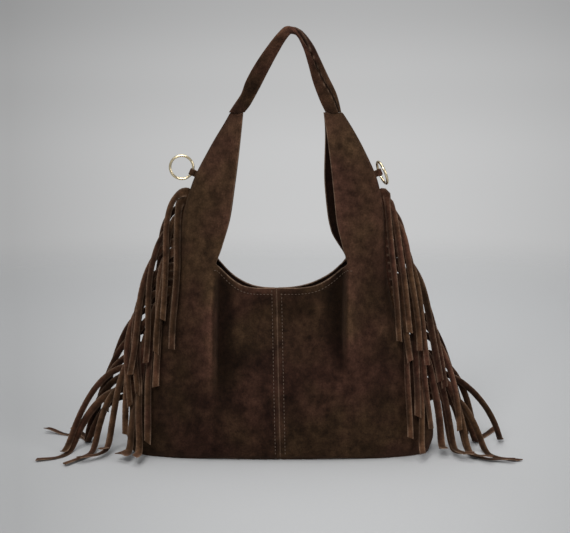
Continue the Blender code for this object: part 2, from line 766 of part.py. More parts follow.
def make_ring(name, side, turn, material):
    """An O-ring of round wire, hung in its tab and turned about the seam's direction."""
    centre, out = tab_axis(side)
    along = seam_down(side, RING_HEIGHT)
    swing = Matrix.Rotation(math.radians(turn), 3, along)
    radial = swing @ out
    normal = along.cross(radial).normalized()
    major, minor = 24, 6
    vertices, faces = [], []
    for i in range(major):
        a = 2.0 * math.pi * i / major
        spoke = radial * math.cos(a) + along * math.sin(a)
        for j in range(minor):
            b = 2.0 * math.pi * j / minor
            local = radial * RING_RADIUS + spoke * (RING_RADIUS + WIRE_RADIUS * math.cos(b))
            vertices.append(local + normal * (WIRE_RADIUS * math.sin(b)))
    for i in range(major):
        for j in range(minor):
            k, m = (i + 1) % major, (j + 1) % minor
            faces.append((i * minor + j, k * minor + j, k * minor + m, i * minor + m))
    placed = add_object(name, vertices, faces, material, smooth_angle=80.0)
    placed.location = centre
    return placed


def snap_back():
    """Distance from the middle plane to the lining where a snap half is fixed."""
    wall = SNAP_HALF_DEPTH - SUEDE - LINING_EASE - LINING_SNAP_EASE - LINING
    return wall - TOUCH


def turned(name, profile, place, facing, material, sides=18):
    """A body of revolution about Y through a place. The profile runs from axis to axis."""
    vertices, faces = [], []
    for r, h in profile:
        ring = []
        for k in range(sides if r > 0.0 else 1):
            a = 2.0 * math.pi * k / sides
            ring.append(len(vertices))
            vertices.append(place + Vector((r * math.cos(a), facing * h, r * math.sin(a))))
        faces.append(ring)
    quads = []
    for low, high in zip(faces, faces[1:]):
        for k in range(sides):
            m = (k + 1) % sides
            if len(low) == 1:
                quads.append((low[0], high[k], high[m]))
            elif len(high) == 1:
                quads.append((low[k], low[m], high[0]))
            else:
                quads.append((low[k], low[m], high[m], high[k]))
    return add_object(name, vertices, quads, material)


def make_snap(material):
    """Magnetic snap: the stud on the front half sits in the hole of the back half."""
    place = Vector((lean(0.0, SNAP_HEIGHT), 0.0, SNAP_HEIGHT))
    back = snap_back()
    face = TOUCH / 2
    hole = STUD_RADIUS + TOUCH
    turned("snap_stud", ((0.0, back), (SNAP_RADIUS, back), (SNAP_RADIUS, face), (STUD_RADIUS, face),
                         (STUD_RADIUS, face - STUD_LENGTH), (0.0, face - STUD_LENGTH)), place, -1, material)
    floor = face + STUD_LENGTH
    turned("snap_socket", ((0.0, back), (SNAP_RADIUS, back), (SNAP_RADIUS, face), (hole, face),
                           (hole, floor), (0.0, floor)), place, 1, material)


def strap_route():
    """Middle line of the strap with its width and turn at each point, from left tip to right tip."""
    left = wall_middle(-1)
    right = wall_middle(1)
    rise = STRAP_APEX - TIP_HEIGHT
    points = (
        (left.x, 0.0, TIP_HEIGHT + TOUCH, TIP_OUTER - TIP_INNER, 0),
        (-0.0415, 0.0, TIP_HEIGHT + 0.17 * rise, 0.0165, -5),
        (-0.0335, 0.0, TIP_HEIGHT + 0.34 * rise, 0.0190, -10),
        (-0.0240, 0.0, TIP_HEIGHT + 0.52 * rise, 0.0185, -10),
        (-0.0120, 0.0, TIP_HEIGHT + 0.72 * rise, 0.0160, 0),
        (0.0010, 0.0, TIP_HEIGHT + 0.91 * rise, 0.0130, 20),
        (0.0110, 0.0, STRAP_APEX, 0.0120, 50),
        (0.0230, 0.0, TIP_HEIGHT + 0.955 * rise, 0.0125, 100),
        (0.0335, 0.0, TIP_HEIGHT + 0.80 * rise, 0.0140, 140),
        (0.0405, 0.0, TIP_HEIGHT + 0.63 * rise, 0.0160, 165),
        (0.0490, 0.0, TIP_HEIGHT + 0.40 * rise, 0.0200, 178),
        (0.0580, 0.0, TIP_HEIGHT + 0.19 * rise, 0.0220, 180),
        (right.x, 0.0, TIP_HEIGHT + TOUCH, TIP_OUTER - TIP_INNER, 180),
    )
    return points


def wall_middle(side):
    x = side * (TIP_INNER + TIP_OUTER) / 2
    return Vector((x + lean(x, TIP_HEIGHT), 0.0, TIP_HEIGHT))


def spline_at(points, share):
    """Catmull-Rom reading of a list of points of any length, from 0 at the start to 1 at the end."""
    position = share * (len(points) - 1)
    index = min(int(position), len(points) - 2)
    t = position - index
    p0 = points[max(index - 1, 0)]
    p1, p2 = points[index], points[index + 1]
    p3 = points[min(index + 2, len(points) - 1)]
    return [0.5 * (2 * b + (c - a) * t + (2 * a - 5 * b + 4 * c - d) * t * t
                   + (3 * b - a - 3 * c + d) * t ** 3) for a, b, c, d in zip(p0, p1, p2, p3)]


def strap_section(width, thickness):
    """A band folded lengthwise: an oval with a cleft where its two edges meet."""
    section = []
    for k in range(STRAP_SIDES):
        a = 2.0 * math.pi * (k + 0.5) / STRAP_SIDES
        section.append((0.5 * width * math.cos(a), 0.5 * thickness * math.sin(a)))
    cleft = [(0.16 * width, -0.5 * thickness), (0.08 * width, -0.12 * thickness),
             (-0.02 * width, -0.5 * thickness)]
    lower = [p for p in section if p[1] < 0.0 and abs(p[0]) < 0.2 * width]
    rest = [p for p in section if p not in lower]
    merged = rest + cleft
    merged.sort(key=lambda p: math.atan2(p[1] - (0.2 * thickness), p[0]))
    return merged


def make_strap(material):
    route = strap_route()
    thickness_at_tip = 2.0 * TIP_HALF_DEPTH - TOUCH
    vertices, faces = [], []
    sides = 0
    places = [spline_at(route, i / STRAP_STATIONS) for i in range(STRAP_STATIONS + 1)]
    for index, (x, y, z, width, turn) in enumerate(places):
        before = Vector(places[max(index - 1, 0)][:3])
        after = Vector(places[min(index + 1, STRAP_STATIONS)][:3])
        tangent = (after - before).normalized()
        near_end = 1.0 - smooth(min(index, STRAP_STATIONS - index) / 3.0)
        upright = Vector((0.0, 0.0, 1.0 if index < STRAP_STATIONS / 2 else -1.0))
        tangent = tangent.lerp(upright, near_end).normalized()
        across = Vector((0.0, 1.0, 0.0)).cross(tangent).normalized()
        deep = tangent.cross(across).normalized()
        angle = math.radians(turn)
        thickness = mix(STRAP_THICKNESS, thickness_at_tip, near_end)
        section = strap_section(width, thickness)
        sides = len(section)
        for u, v in section:
            uu = u * math.cos(angle) - v * math.sin(angle)
            vv = u * math.sin(angle) + v * math.cos(angle)
            vertices.append(Vector((x, y, z)) + across * uu + deep * vv)
    for i in range(STRAP_STATIONS):
        for k in range(sides):
            m = (k + 1) % sides
            faces.append((i * sides + k, i * sides + m, (i + 1) * sides + m, (i + 1) * sides + k))
    faces.append(tuple(range(sides - 1, -1, -1)))
    last = STRAP_STATIONS * sides
    faces.append(tuple(range(last, last + sides)))
    return add_object("shoulder_strap", vertices, faces, material)


def build():
    clear_scene()
    suede = make_material("suede", COLOURS["suede"], 0.95)
    strap = make_material("strap_suede", COLOURS["strap"], 0.95)
    fringe = make_material("fringe_suede", COLOURS["fringe"], 0.95)
    lining = make_material("lining_cloth", COLOURS["lining"], 0.85)
    gold = make_material("pale_gold", COLOURS["gold"], 0.25, 1.0)
    nickel = make_material("nickel", COLOURS["nickel"], 0.3, 1.0)
    for face, face_name in ((-1, "front"), (1, "back")):
        for side, side_name in ((-1, "left"), (1, "right")):
            make_panel(face_name + "_panel_" + side_name, side, face, suede)
    make_base(suede)
    make_lining(lining)
    make_strap(strap)
    for side, side_name in ((-1, "left"), (1, "right")):
        make_fringe("fringe_" + side_name, side, fringe)
        make_tab("ring_tab_" + side_name, side, suede)
    make_ring("ring_left", -1, 0.0, gold)
    make_ring("ring_right", 1, RIGHT_RING_TURN, gold)
    make_snap(nickel)


build()
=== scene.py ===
# %% [markdown]
# # A fringed suede shoulder bag
# This lesson dresses a plain model of a slouchy suede bag as a finished picture. The plain model is
# already packed as a fixed frame of solids. Each cell adds one piece or one finish: panels with folds,
# a lining, a folded strap, two combs of fringe, rings, and the thread that holds it all together.

import math
import random

import bpy
from mathutils import Matrix, Vector, noise


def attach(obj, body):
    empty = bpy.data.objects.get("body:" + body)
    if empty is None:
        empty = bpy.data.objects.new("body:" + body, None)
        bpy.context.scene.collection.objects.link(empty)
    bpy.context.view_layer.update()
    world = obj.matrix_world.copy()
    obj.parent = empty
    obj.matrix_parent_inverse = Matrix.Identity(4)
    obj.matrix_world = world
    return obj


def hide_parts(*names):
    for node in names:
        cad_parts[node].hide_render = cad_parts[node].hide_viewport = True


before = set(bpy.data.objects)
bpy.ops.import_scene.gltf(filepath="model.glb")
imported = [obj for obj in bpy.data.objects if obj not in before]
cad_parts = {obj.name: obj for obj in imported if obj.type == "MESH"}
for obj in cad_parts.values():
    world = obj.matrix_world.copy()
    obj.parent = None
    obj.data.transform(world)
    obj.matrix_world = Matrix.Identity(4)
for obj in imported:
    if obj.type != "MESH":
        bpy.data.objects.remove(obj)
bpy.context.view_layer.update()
SIDES = ((-1, "left"), (1, "right"))
FACES = ((-1, "front"), (1, "back"))
print("nodes in the frame:", len(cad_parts))

# %% [markdown]
# ## The sizes of the bag
# The real bag was cut from a few patterns, and every piece has to agree with them. The same is true
# here: one set of sizes, in metres, shapes the panels, the lining and the seams. They are the sizes of
# the solids in the frame, so that the dressed pieces lie where the solids are.

# %% Sizes of the body
SUEDE = 0.0016
HEM = 0.0030
TOUCH = 0.0003

BASE_HALF_WIDTH = 0.188
SEAM_SWELL = 0.006
SEAM_AT_MOUTH = 0.129
SEAM_AT_RING = 0.1145
TIP_OUTER = 0.0685
TIP_INNER = 0.0490
MOUTH_HEIGHT = 0.209
BACK_MOUTH_DROP = 0.002
BACK_HORN_REACH = 0.0085
CORNER_HEIGHT = 0.242
CORNER_X = 0.080
RING_HEIGHT = 0.350
TIP_HEIGHT = 0.425
HORN_LEAN = 0.008
SEAM_SLANT = -0.005

BASE_HALF_DEPTH = 0.047
BELLY_HALF_DEPTH = 0.057
SNAP_HALF_DEPTH = 0.0075
CORNER_HALF_DEPTH = 0.027
TIP_HALF_DEPTH = 0.0068
BASE_LIFT = 0.0026

COLUMNS = 12
CORNER_COLUMN = 7


# %% Small helpers for smooth curves
def clamp(value, low=0.0, high=1.0):
    return max(low, min(high, value))


def smooth(value):
    value = clamp(value)
    return value * value * (3.0 - 2.0 * value)


def mix(a, b, share):
    return a + (b - a) * share


def curve_through(points, at):
    """Value at a place on a smooth curve through (place, value) points, with no overshoot."""
    if at <= points[0][0]:
        return points[0][1]
    if at >= points[-1][0]:
        return points[-1][1]
    slopes = [(b[1] - a[1]) / (b[0] - a[0]) for a, b in zip(points, points[1:])]
    tangents = [slopes[0]]
    for left, right in zip(slopes, slopes[1:]):
        tangents.append(0.0 if left * right <= 0.0 else 2.0 * left * right / (left + right))
    tangents.append(slopes[-1])
    for index in range(len(points) - 1):
        start, end = points[index], points[index + 1]
        if at <= end[0]:
            span = end[0] - start[0]
            t = (at - start[0]) / span
            h = 1.0 - t
            return (start[1] * h * h * (1.0 + 2.0 * t) + tangents[index] * span * t * h * h
                    + end[1] * t * t * (1.0 + 2.0 * h) - tangents[index + 1] * span * h * t * t)
    return points[-1][1]


def wander(x, y, z, seed=0.0):
    """Smooth noise about 0, from -1 to 1, at a place that is already scaled."""
    return noise.noise(Vector((x + 17.3 * seed, y - 5.1 * seed, z + 9.7 * seed)))


print("half way along a smooth step:", smooth(0.5))

# %% [markdown]
# ## The outline of the body
# Seen from the front the bag is a wide sack whose side seams lean in and run on up into two horns.
# The outline is kept as half widths over the height, which is easy to correct one point at a time.


# %% Outline curves
def seam_x(z):
    """Half width at the side seams, which run from the floor to the horns' tips."""
    return curve_through((
        (0.0, BASE_HALF_WIDTH),
        (0.022, BASE_HALF_WIDTH + SEAM_SWELL),
        (0.28 * CORNER_HEIGHT, BASE_HALF_WIDTH - 0.004),
        (0.58 * CORNER_HEIGHT, mix(BASE_HALF_WIDTH, SEAM_AT_MOUTH, 0.58)),
        (CORNER_HEIGHT, SEAM_AT_MOUTH),
        (mix(CORNER_HEIGHT, RING_HEIGHT, 0.5), mix(SEAM_AT_MOUTH, SEAM_AT_RING, 0.32)),
        (RING_HEIGHT - 0.012, SEAM_AT_RING),
        (mix(RING_HEIGHT, TIP_HEIGHT, 0.42), mix(SEAM_AT_RING, TIP_OUTER, 0.44)),
        (TIP_HEIGHT, TIP_OUTER),
    ), z)


def horn_inner_x(z):
    """Half width between the horns, along their inner edges."""
    height = (z - CORNER_HEIGHT) / (TIP_HEIGHT - CORNER_HEIGHT)
    drawn_in = curve_through(((0.0, 0.0), (0.12, 0.22), (0.28, 0.47), (0.5, 0.64), (1.0, 1.0)), height)
    return mix(CORNER_X, TIP_INNER, drawn_in)


def horn_edge(side, face, z):
    """Half width at a horn's inner edge. The right horn's back quarter stands out a little further."""
    reach = BACK_HORN_REACH if side > 0 and face > 0 else 0.0
    return horn_inner_x(z) - reach * smooth((z - CORNER_HEIGHT) / 0.035) * smooth((TIP_HEIGHT - z) / 0.10)


def mouth_z(x, face):
    """Height of the mouth's edge: nearly level in the middle, rising to the corners."""
    low = MOUTH_HEIGHT - (BACK_MOUTH_DROP if face > 0 else 0.0)
    return mix(low, CORNER_HEIGHT, clamp(x / CORNER_X) ** 3)


def lean(x, z):
    """The horns lean a little to the right, and the centre seam slants to the left."""
    horns = HORN_LEAN * smooth((z - 0.8 * MOUTH_HEIGHT) / (TIP_HEIGHT - 0.8 * MOUTH_HEIGHT))
    middle = SEAM_SLANT * clamp(z / MOUTH_HEIGHT) * (1.0 - smooth(abs(x) / CORNER_X))
    return horns * smooth(abs(x) / CORNER_X) + middle


def middle_depth(z):
    return curve_through((
        (0.0, BASE_HALF_DEPTH),
        (0.007, mix(BASE_HALF_DEPTH, BELLY_HALF_DEPTH, 0.62)),
        (0.035, BELLY_HALF_DEPTH),
        (0.085, 0.88 * BELLY_HALF_DEPTH),
        (0.125, 0.64 * BELLY_HALF_DEPTH),
        (0.155, mix(SNAP_HALF_DEPTH, BELLY_HALF_DEPTH, 0.22)),
        (0.175, SNAP_HALF_DEPTH),
        (MOUTH_HEIGHT, SNAP_HALF_DEPTH),
    ), z)


def side_depth(z):
    return curve_through((
        (0.0, BASE_HALF_DEPTH),
        (0.007, mix(BASE_HALF_DEPTH, BELLY_HALF_DEPTH, 0.62)),
        (0.035, BELLY_HALF_DEPTH),
        (0.11, 0.80 * BELLY_HALF_DEPTH),
        (0.18, mix(CORNER_HALF_DEPTH, BELLY_HALF_DEPTH, 0.30)),
        (CORNER_HEIGHT, CORNER_HALF_DEPTH),
        (RING_HEIGHT, 0.90 * CORNER_HALF_DEPTH),
        (mix(RING_HEIGHT, TIP_HEIGHT, 0.6), mix(TIP_HALF_DEPTH, CORNER_HALF_DEPTH, 0.45)),
        (TIP_HEIGHT, TIP_HALF_DEPTH),
    ), z)


print("half width at the floor, at the mouth and at the tips, in mm:",
      [round(seam_x(z) * 1000) for z in (0.0, CORNER_HEIGHT, TIP_HEIGHT)])

# %% [markdown]
# ## The folds
# A soft sack that stands up by itself folds below its horns: a long ridge runs down from each corner
# of the mouth with a valley beside it. Each fold is a bump across and a soft start and end along. A
# simulation would find folds too, but not these folds in these places, so they are listed one by one.
# Fine creases come from smooth noise, stretched along the height.

# %% Folds
# Each main fold: place, height of the ridge, depth of the valley, lowest and highest end.
# Each soft fold: side, place, width, lowest and highest end, height.
MAIN_FOLDS = {-1: (0.0850, 0.0085, 0.0125, 0.045, 0.262), 1: (0.0835, 0.0085, 0.0115, 0.085, 0.268)}
SOFT_FOLDS = (
    (-1, 0.0300, 0.0140, 0.030, 0.150, 0.0030),
    (1, 0.0330, 0.0140, 0.020, 0.130, 0.0035),
    (-1, 0.1250, 0.0150, 0.010, 0.150, -0.0045),
    (1, 0.1300, 0.0160, 0.015, 0.160, -0.0045),
)


def along_fold(z, low, high):
    return smooth((z - low) / (0.40 * (high - low))) * smooth((high - z) / (0.30 * (high - low)))


def main_fold(x, z):
    """The ridge below a horn and the valley beside it: a crisp drop inward, and a slow rise again."""
    place, ridge, valley, low, high = MAIN_FOLDS[-1 if x < 0.0 else 1]
    inward = place - abs(x)
    if inward < 0.0:
        across = ridge * math.exp(-(inward / 0.016) ** 2)
    else:
        across = mix(ridge, -valley, smooth(inward / 0.010)) * (1.0 - smooth((inward - 0.008) / 0.034))
    return across * along_fold(z, low, high)


def fold_depth(x, z, face):
    total = main_fold(x, z)
    for side, place, width, low, high, height in SOFT_FOLDS:
        if side * x > 0.0:
            total += height * math.exp(-((abs(x) - place) / width) ** 2) * along_fold(z, low, high)
    return total * (1.0 if face < 0 else 0.5)


print("folds:", len(MAIN_FOLDS) + len(SOFT_FOLDS))


# %% The wall with its creases
FRINGE_TOP = RING_HEIGHT - 0.01828


def crease_depth(x, z, face):
    """Shallow creases in the suede, a millimetre or so deep, that run mostly up and down."""
    long_ones = wander(x * 38.0, face * 3.0, z * 11.0, 1.0)
    short_ones = wander(x * 75.0, face * 5.0, z * 34.0, 2.0)
    return 0.0011 * long_ones + 0.0005 * short_ones


def seam_gap(z):
    """Half the gap between the front and back panels at a side seam."""
    fringe, tab, top = 0.00085, 0.00155, TOUCH / 2
    if z <= FRINGE_TOP + 0.001:
        return fringe
    return mix(tab, top, smooth((z - RING_HEIGHT - 0.006) / 0.02))


def wall_point(x, z, face):
    """A point on the outside of the bag. x is signed, face is -1 at the front and 1 at the back."""
    middle = smooth(abs(x) / CORNER_X)
    depth = mix(middle_depth(z), side_depth(z), middle)
    power = mix(3.0, 2.3, clamp(z / MOUTH_HEIGHT))
    across = clamp(abs(x) / seam_x(z))
    rounding = (1.0 - across ** power) ** (1.0 / power)
    y = depth * rounding + fold_depth(x, z, face) * smooth(rounding / 0.6)
    y = max(y, seam_gap(z))
    return Vector((x + lean(x, z), face * y, z))


def floor_lift(x):
    """The lower edge lifts off the floor a little, left and right of the middle."""
    return BASE_LIFT * math.exp(-((abs(x) - 0.36 * BASE_HALF_WIDTH) / 0.022) ** 2)


print("depth of the belly at the front in mm:", round(-1000 * wall_point(0.03, 0.035, -1).y, 1))

# %% [markdown]
# ## A sheet with a rounded edge
# Suede is 1.6 mm thick, and a cut or turned edge of it looks round. A flat grid of points becomes such
# a sheet in one helper: two layers a thickness apart, joined round every open edge by a few rows on a
# half circle. Blender's Solidify and Bevel modifiers could do it too, but here the thickness changes
# along the piece, and each layer gets its own tone. Strips, stitches, rings and the strap are tubes
# instead: a row of rings of points with faces between them.

# %% Pieces and tubes
def add_piece(name, points, faces, tones=None, smooth_angle=60.0):
    """A mesh object with an optional tone for each point: wear and painted highlight, painted shadow and cut
    edge, from 0 to 1.
    """
    mesh = bpy.data.meshes.new(name)
    mesh.from_pydata([tuple(p) for p in points], [], faces)
    mesh.validate()
    if tones:
        layer = mesh.color_attributes.new("tone", "FLOAT_COLOR", "POINT")
        layer.data.foreach_set("color", [part for tone in tones for part in (*tone, 1.0)])
    mesh.shade_smooth()
    mesh.set_sharp_from_angle(angle=math.radians(smooth_angle))
    piece = bpy.data.objects.new(name, mesh)
    bpy.context.scene.collection.objects.link(piece)
    return piece


def dress(piece, slot, stands_for, body="bag"):
    """Hangs a piece on its body and lets it stand for a solid of the frame, which it hides. The slot is not
    used.
    """
    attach(piece, body)
    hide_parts(stands_for)
    print(piece.name, "has", len(piece.data.polygons), "faces")
    return piece


def tube(rings, faces, turned=False, caps=True):
    """Faces round a row of rings of point numbers. A turned tube has its faces the other way round."""
    made = [(a[k], a[(k + 1) % len(a)], b[(k + 1) % len(a)], b[k])
            for a, b in zip(rings, rings[1:]) for k in range(len(a))]
    if caps:
        made += [tuple(reversed(rings[0])), tuple(rings[-1])]
    faces += [face[::-1] for face in made] if turned else made


print("helpers:", add_piece.__name__, dress.__name__, tube.__name__)

# %% Thick sheet
RIM_STEPS = 4


def thick_sheet(points, normals, depths, quads, tones):
    """Two layers with a half-round rim at every open edge. Returns points, faces and tones."""
    count = len(points)
    all_points = [p.copy() for p in points] + [p - n * d for p, n, d in zip(points, normals, depths)]
    all_tones = list(tones) + [(0.0, 1.0, 0.0)] * count
    faces, used = [], set()
    for quad in quads:
        faces.append(tuple(quad))
        faces.append(tuple(index + count for index in reversed(quad)))
        used.update(zip(quad, quad[1:] + quad[:1]))
    border = sorted((a, b) for a, b in used if (b, a) not in used)
    outward = {}
    for a, b in border:
        for index in (a, b):
            push = (points[b] - points[a]).cross(normals[index])
            outward[index] = outward.get(index, Vector()) + push.normalized()
    rim = {}
    for index in sorted(outward):
        way, half = outward[index], depths[index] / 2
        way = (way - normals[index] * way.dot(normals[index])).normalized()
        all_points[index] -= way * half
        all_points[index + count] -= way * half
        middle = (all_points[index] + all_points[index + count]) / 2
        chain = [index]
        for step in range(1, RIM_STEPS):
            a = math.pi * (0.5 - step / RIM_STEPS)
            chain.append(len(all_points))
            all_points.append(middle + normals[index] * (half * math.sin(a)) + way * (half * math.cos(a)))
            all_tones.append((tones[index][0], tones[index][1], max(tones[index][2], 0.55)))
        chain.append(index + count)
        rim[index] = chain
    for a, b in border:
        for step in range(RIM_STEPS):
            faces.append((rim[b][step], rim[a][step], rim[a][step + 1], rim[b][step + 1]))
    return all_points, faces, all_tones


print("rows round an edge:", RIM_STEPS)

# %% [markdown]
# ## The panels
# The body is sewn from four quarters. Each is a fine grid laid over the outline: columns run from the
# centre seam to the side seam and rows from the floor to the mouth, and then on up the horn. Near a
# seam the suede rolls inward, and along the mouth the turned hem makes it thicker down to a stitched
# line. The tone of each point holds wear and painted light: worn ridges and edges are paler, the upper
# parts get a painted highlight, and the valleys and the lower body get painted shade.

# %% Places on a quarter
# The plan has few columns, and each of them holds ACROSS fine ones
ACROSS = 10
WALL_STEPS = 96
HORN_STEPS = 84
SIDE_CROWDING = 1.5
FLOOR_CROWDING = 1.45


def crowded(share, power):
    """A share from 0 to 1 whose steps get smaller towards the side seam."""
    return 1.0 - (1.0 - share) ** power


def wall_place(side, face, column, share):
    """A point of the wall between the floor and the mouth, at any column and share of the height."""
    if column <= CORNER_COLUMN:
        top_x = CORNER_X * column / CORNER_COLUMN
        top_z = mouth_z(top_x, face)
    else:
        across = (column - CORNER_COLUMN) / (COLUMNS - CORNER_COLUMN)
        top_x = mix(CORNER_X, seam_x(CORNER_HEIGHT), crowded(across, SIDE_CROWDING))
        top_z = CORNER_HEIGHT
    bottom_share = crowded(column / COLUMNS, FLOOR_CROWDING)
    z = mix(floor_lift(bottom_share * BASE_HALF_WIDTH), top_z, share)
    x = seam_x(z) * mix(bottom_share, top_x / seam_x(top_z), smooth(share))
    return side * max(x, 0.00003), z


def horn_place(side, face, column, share):
    z = mix(CORNER_HEIGHT, TIP_HEIGHT, share)
    across = (column - CORNER_COLUMN) / (COLUMNS - CORNER_COLUMN)
    return side * mix(horn_edge(side, face, z), seam_x(z), crowded(across, SIDE_CROWDING)), z


def fine_wall(side, face):
    """The quarter's grid of points, rows by columns, with None where the mouth is open."""
    last, corner = COLUMNS * ACROSS + 1, CORNER_COLUMN * ACROSS
    rows = [[wall_place(side, face, c / ACROSS, r / WALL_STEPS) for c in range(last)]
            for r in range(WALL_STEPS + 1)]
    for r in range(1, HORN_STEPS + 1):
        rows.append([None] * corner
                    + [horn_place(side, face, c / ACROSS, r / HORN_STEPS) for c in range(corner, last)])
    return rows


print("rows and columns of a quarter:", WALL_STEPS + HORN_STEPS + 1, COLUMNS * ACROSS + 1)


# %% Normals of a grid
def grid_normals(grid, turn):
    """The normal at each point, level at the grid's own edges so that mirrored grids meet."""
    last_row, last_column = len(grid) - 1, len(grid[0]) - 1

    def near(r, c, dr, dc):
        rr, cc = r + dr, c + dc
        inside = 0 <= rr <= last_row and 0 <= cc <= last_column
        return grid[rr][cc] if inside and grid[rr][cc] is not None else grid[r][c]

    def normal_at(r, c):
        if grid[r][c] is None:
            return None
        across = near(r, c, 0, 1) - near(r, c, 0, -1)
        normal = across.cross(near(r, c, 1, 0) - near(r, c, -1, 0)) * turn
        if c == 0:
            normal.x = 0.0
        if c == last_column:
            normal.y = 0.0
        if r in (0, last_row):
            normal.z = 0.0
        return normal.normalized()

    return [[normal_at(r, c) for c in range(last_column + 1)] for r in range(last_row + 1)]


flat_grid = [[Vector((x, 0.0, z)) for x in range(3)] for z in range(3)]
print("normal in the middle of a flat grid:", tuple(grid_normals(flat_grid, 1.0)[1][1]))


# %% Shape and tone of a panel
HEM_DEPTH = 0.0095
SEAM_ROLL = 0.0012


def panel_spot(x, z, side, face, in_wall, below_mouth_edge):
    """How far a spot moves out of the plain wall, and its tone: wear and painted highlight, painted shade,
    cut edge.
    """
    to_mouth = 1.0
    if below_mouth_edge:
        to_mouth = (mouth_z(abs(x), face) - z) / HEM_DEPTH
    elif not in_wall:
        to_mouth = (abs(x) - horn_edge(side, face, z)) / HEM_DEPTH
    to_centre = abs(x) / 0.0045 if in_wall else 9.0
    to_seam = (seam_x(z) - abs(x)) / 0.006
    calm = smooth(to_mouth) * smooth(to_centre / 2.0) * smooth(to_seam) * smooth(z / 0.012)
    move = crease_depth(x, z, face) * calm
    move -= SEAM_ROLL * math.exp(-(to_centre * 2.2) ** 2)
    move += 0.0005 * math.exp(-((to_centre - 0.8) / 0.6) ** 2)
    move -= 0.0005 * math.exp(-((to_mouth - 1.0) / 0.16) ** 2)
    fold = fold_depth(x, z, face)
    # Paler wear on the fold ridges, the mouth's edge and the centre seam, plus a painted highlight on the
    # upper bag and horns
    wear_and_highlight = clamp(fold / 0.0085) ** 2 + 0.45 * math.exp(-(to_mouth * 1.6) ** 2)
    wear_and_highlight += 0.5 * smooth((z - 0.20) / 0.10) + 0.5 * math.exp(-(to_centre * 1.5) ** 2)
    # Painted shade in the valleys beside the folds, and a little painted shade on the lower body
    shaded = smooth(-fold / 0.0095) + 0.12 * (1.0 - smooth(z / 0.16))
    return move, (clamp(wear_and_highlight), clamp(shaded), 0.0)


print("width of the hem in mm:", round(HEM_DEPTH * 1000, 1))


# %% Build the four panels
def make_panel(name, side, face):
    plan = fine_wall(side, face)
    turn = side if face < 0 else -side
    shaped = [[spot and wall_point(*spot, face) for spot in row] for row in plan]
    plain_normals = grid_normals(shaped, turn)
    corner = CORNER_COLUMN * ACROSS
    number, tones = {}, []
    for r, row in enumerate(shaped):
        for c, point in enumerate(row):
            if point is not None:
                in_wall = r <= WALL_STEPS
                move, tone = panel_spot(*plan[r][c], side, face, in_wall, in_wall and c <= corner)
                point += plain_normals[r][c] * move
                number[(r, c)] = len(tones)
                tones.append(tone)
    normals = grid_normals(shaped, turn)
    depths, quads = [], []
    for r, c in number:
        on_hem = (r == WALL_STEPS and c <= corner) or (r > WALL_STEPS and c == corner)
        depths.append(HEM * 0.9 if on_hem else SUEDE)
        spots = [(r, c), (r, c + 1), (r + 1, c + 1), (r + 1, c)]
        if all(spot in number for spot in spots):
            quad = [number[spot] for spot in spots]
            quads.append(quad if side * face < 0 else quad[::-1])
    points = [shaped[r][c] for r, c in number]
    made = thick_sheet(points, [normals[r][c] for r, c in number], depths, quads, tones)
    return add_piece(name, *made)


suede_pieces = []
for face, face_name in FACES:
    for side, side_name in SIDES:
        panel = make_panel(f"suede_{face_name}_{side_name}", side, face)
        suede_pieces.append(dress(panel, "body_suede", f"{face_name}_panel_{side_name}"))

# %% [markdown]
# ## The stitching
# Two rows of thread run down beside the centre seam, and one follows the hem of the mouth. A row is
# drawn as a line on the plan of the front, and each stitch is found on the sewn panel by looking
# straight at it, so the thread lies on the folds wherever they go.

# %% Find places on the sewn panels
from mathutils.bvhtree import BVHTree

scene_graph = bpy.context.evaluated_depsgraph_get()
wall_trees = {-1: [], 1: []}
for piece in suede_pieces:
    wall_trees[-1 if "front" in piece.name else 1].append(BVHTree.FromObject(piece, scene_graph))


def on_wall(x, z, face):
    """The place and the normal of the suede that is seen at x and z from the front or the back."""
    for tree in wall_trees[face]:
        place, normal, _, _ = tree.ray_cast(Vector((x, face * 0.3, z)), Vector((0.0, -face, 0.0)), 0.4)
        if place is not None:
            return place, normal
    return None, None


print("panels to sew on:", len(suede_pieces))

# %% Sew the rows of thread
STITCH = 0.0030
STITCH_GAP = 0.0014
THREAD_RADIUS = 0.00038
CENTRE_ROW = 0.0060
# For each ring of a stitch: its place along the stitch, its size, and how far out of the suede it is
STITCH_SHAPE = ((-0.5, 0.35, -0.9), (-0.3, 1.0, 0.1), (0.3, 1.0, 0.1), (0.5, 0.35, -0.9))


def add_stitch(place, normal, along, points, faces):
    """One short stitch: a bar with six sides that dips into the suede at both ends."""
    across = along.cross(normal).normalized()
    rings = []
    for where, size, sink in STITCH_SHAPE:
        centre = place + along * (where * STITCH) + normal * (THREAD_RADIUS * sink)
        rings.append(range(len(points), len(points) + 6))
        for k in range(6):
            a = math.pi / 3.0 * k
            points.append(centre + (across * math.cos(a) + normal * math.sin(a)) * (THREAD_RADIUS * size))
    tube(rings, faces, turned=True)


def sew(name, plan, face):
    """A row of stitches along a line of x and z, on the front or the back."""
    points, faces = [], []
    line = [spot for spot in (on_wall(x, z, face) for x, z in plan) if spot[0] is not None]
    travelled = 0.0
    for (a, normal_a), (b, _) in zip(line, line[1:]):
        travelled += (b - a).length
        if travelled >= STITCH + STITCH_GAP:
            travelled = 0.0
            add_stitch(b, normal_a, (b - a).normalized(), points, faces)
    row = add_piece(name, points, faces, smooth_angle=80.0)
    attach(row, "bag")
    return row


def fine_line(function, start, end, steps=700):
    return [function(mix(start, end, k / steps)) for k in range(steps + 1)]


def beside_centre(offset, face):
    top = mouth_z(0.0, face) - 0.004

    def at(z):
        return offset + lean(offset, z), z
    return fine_line(at, 0.006, top)


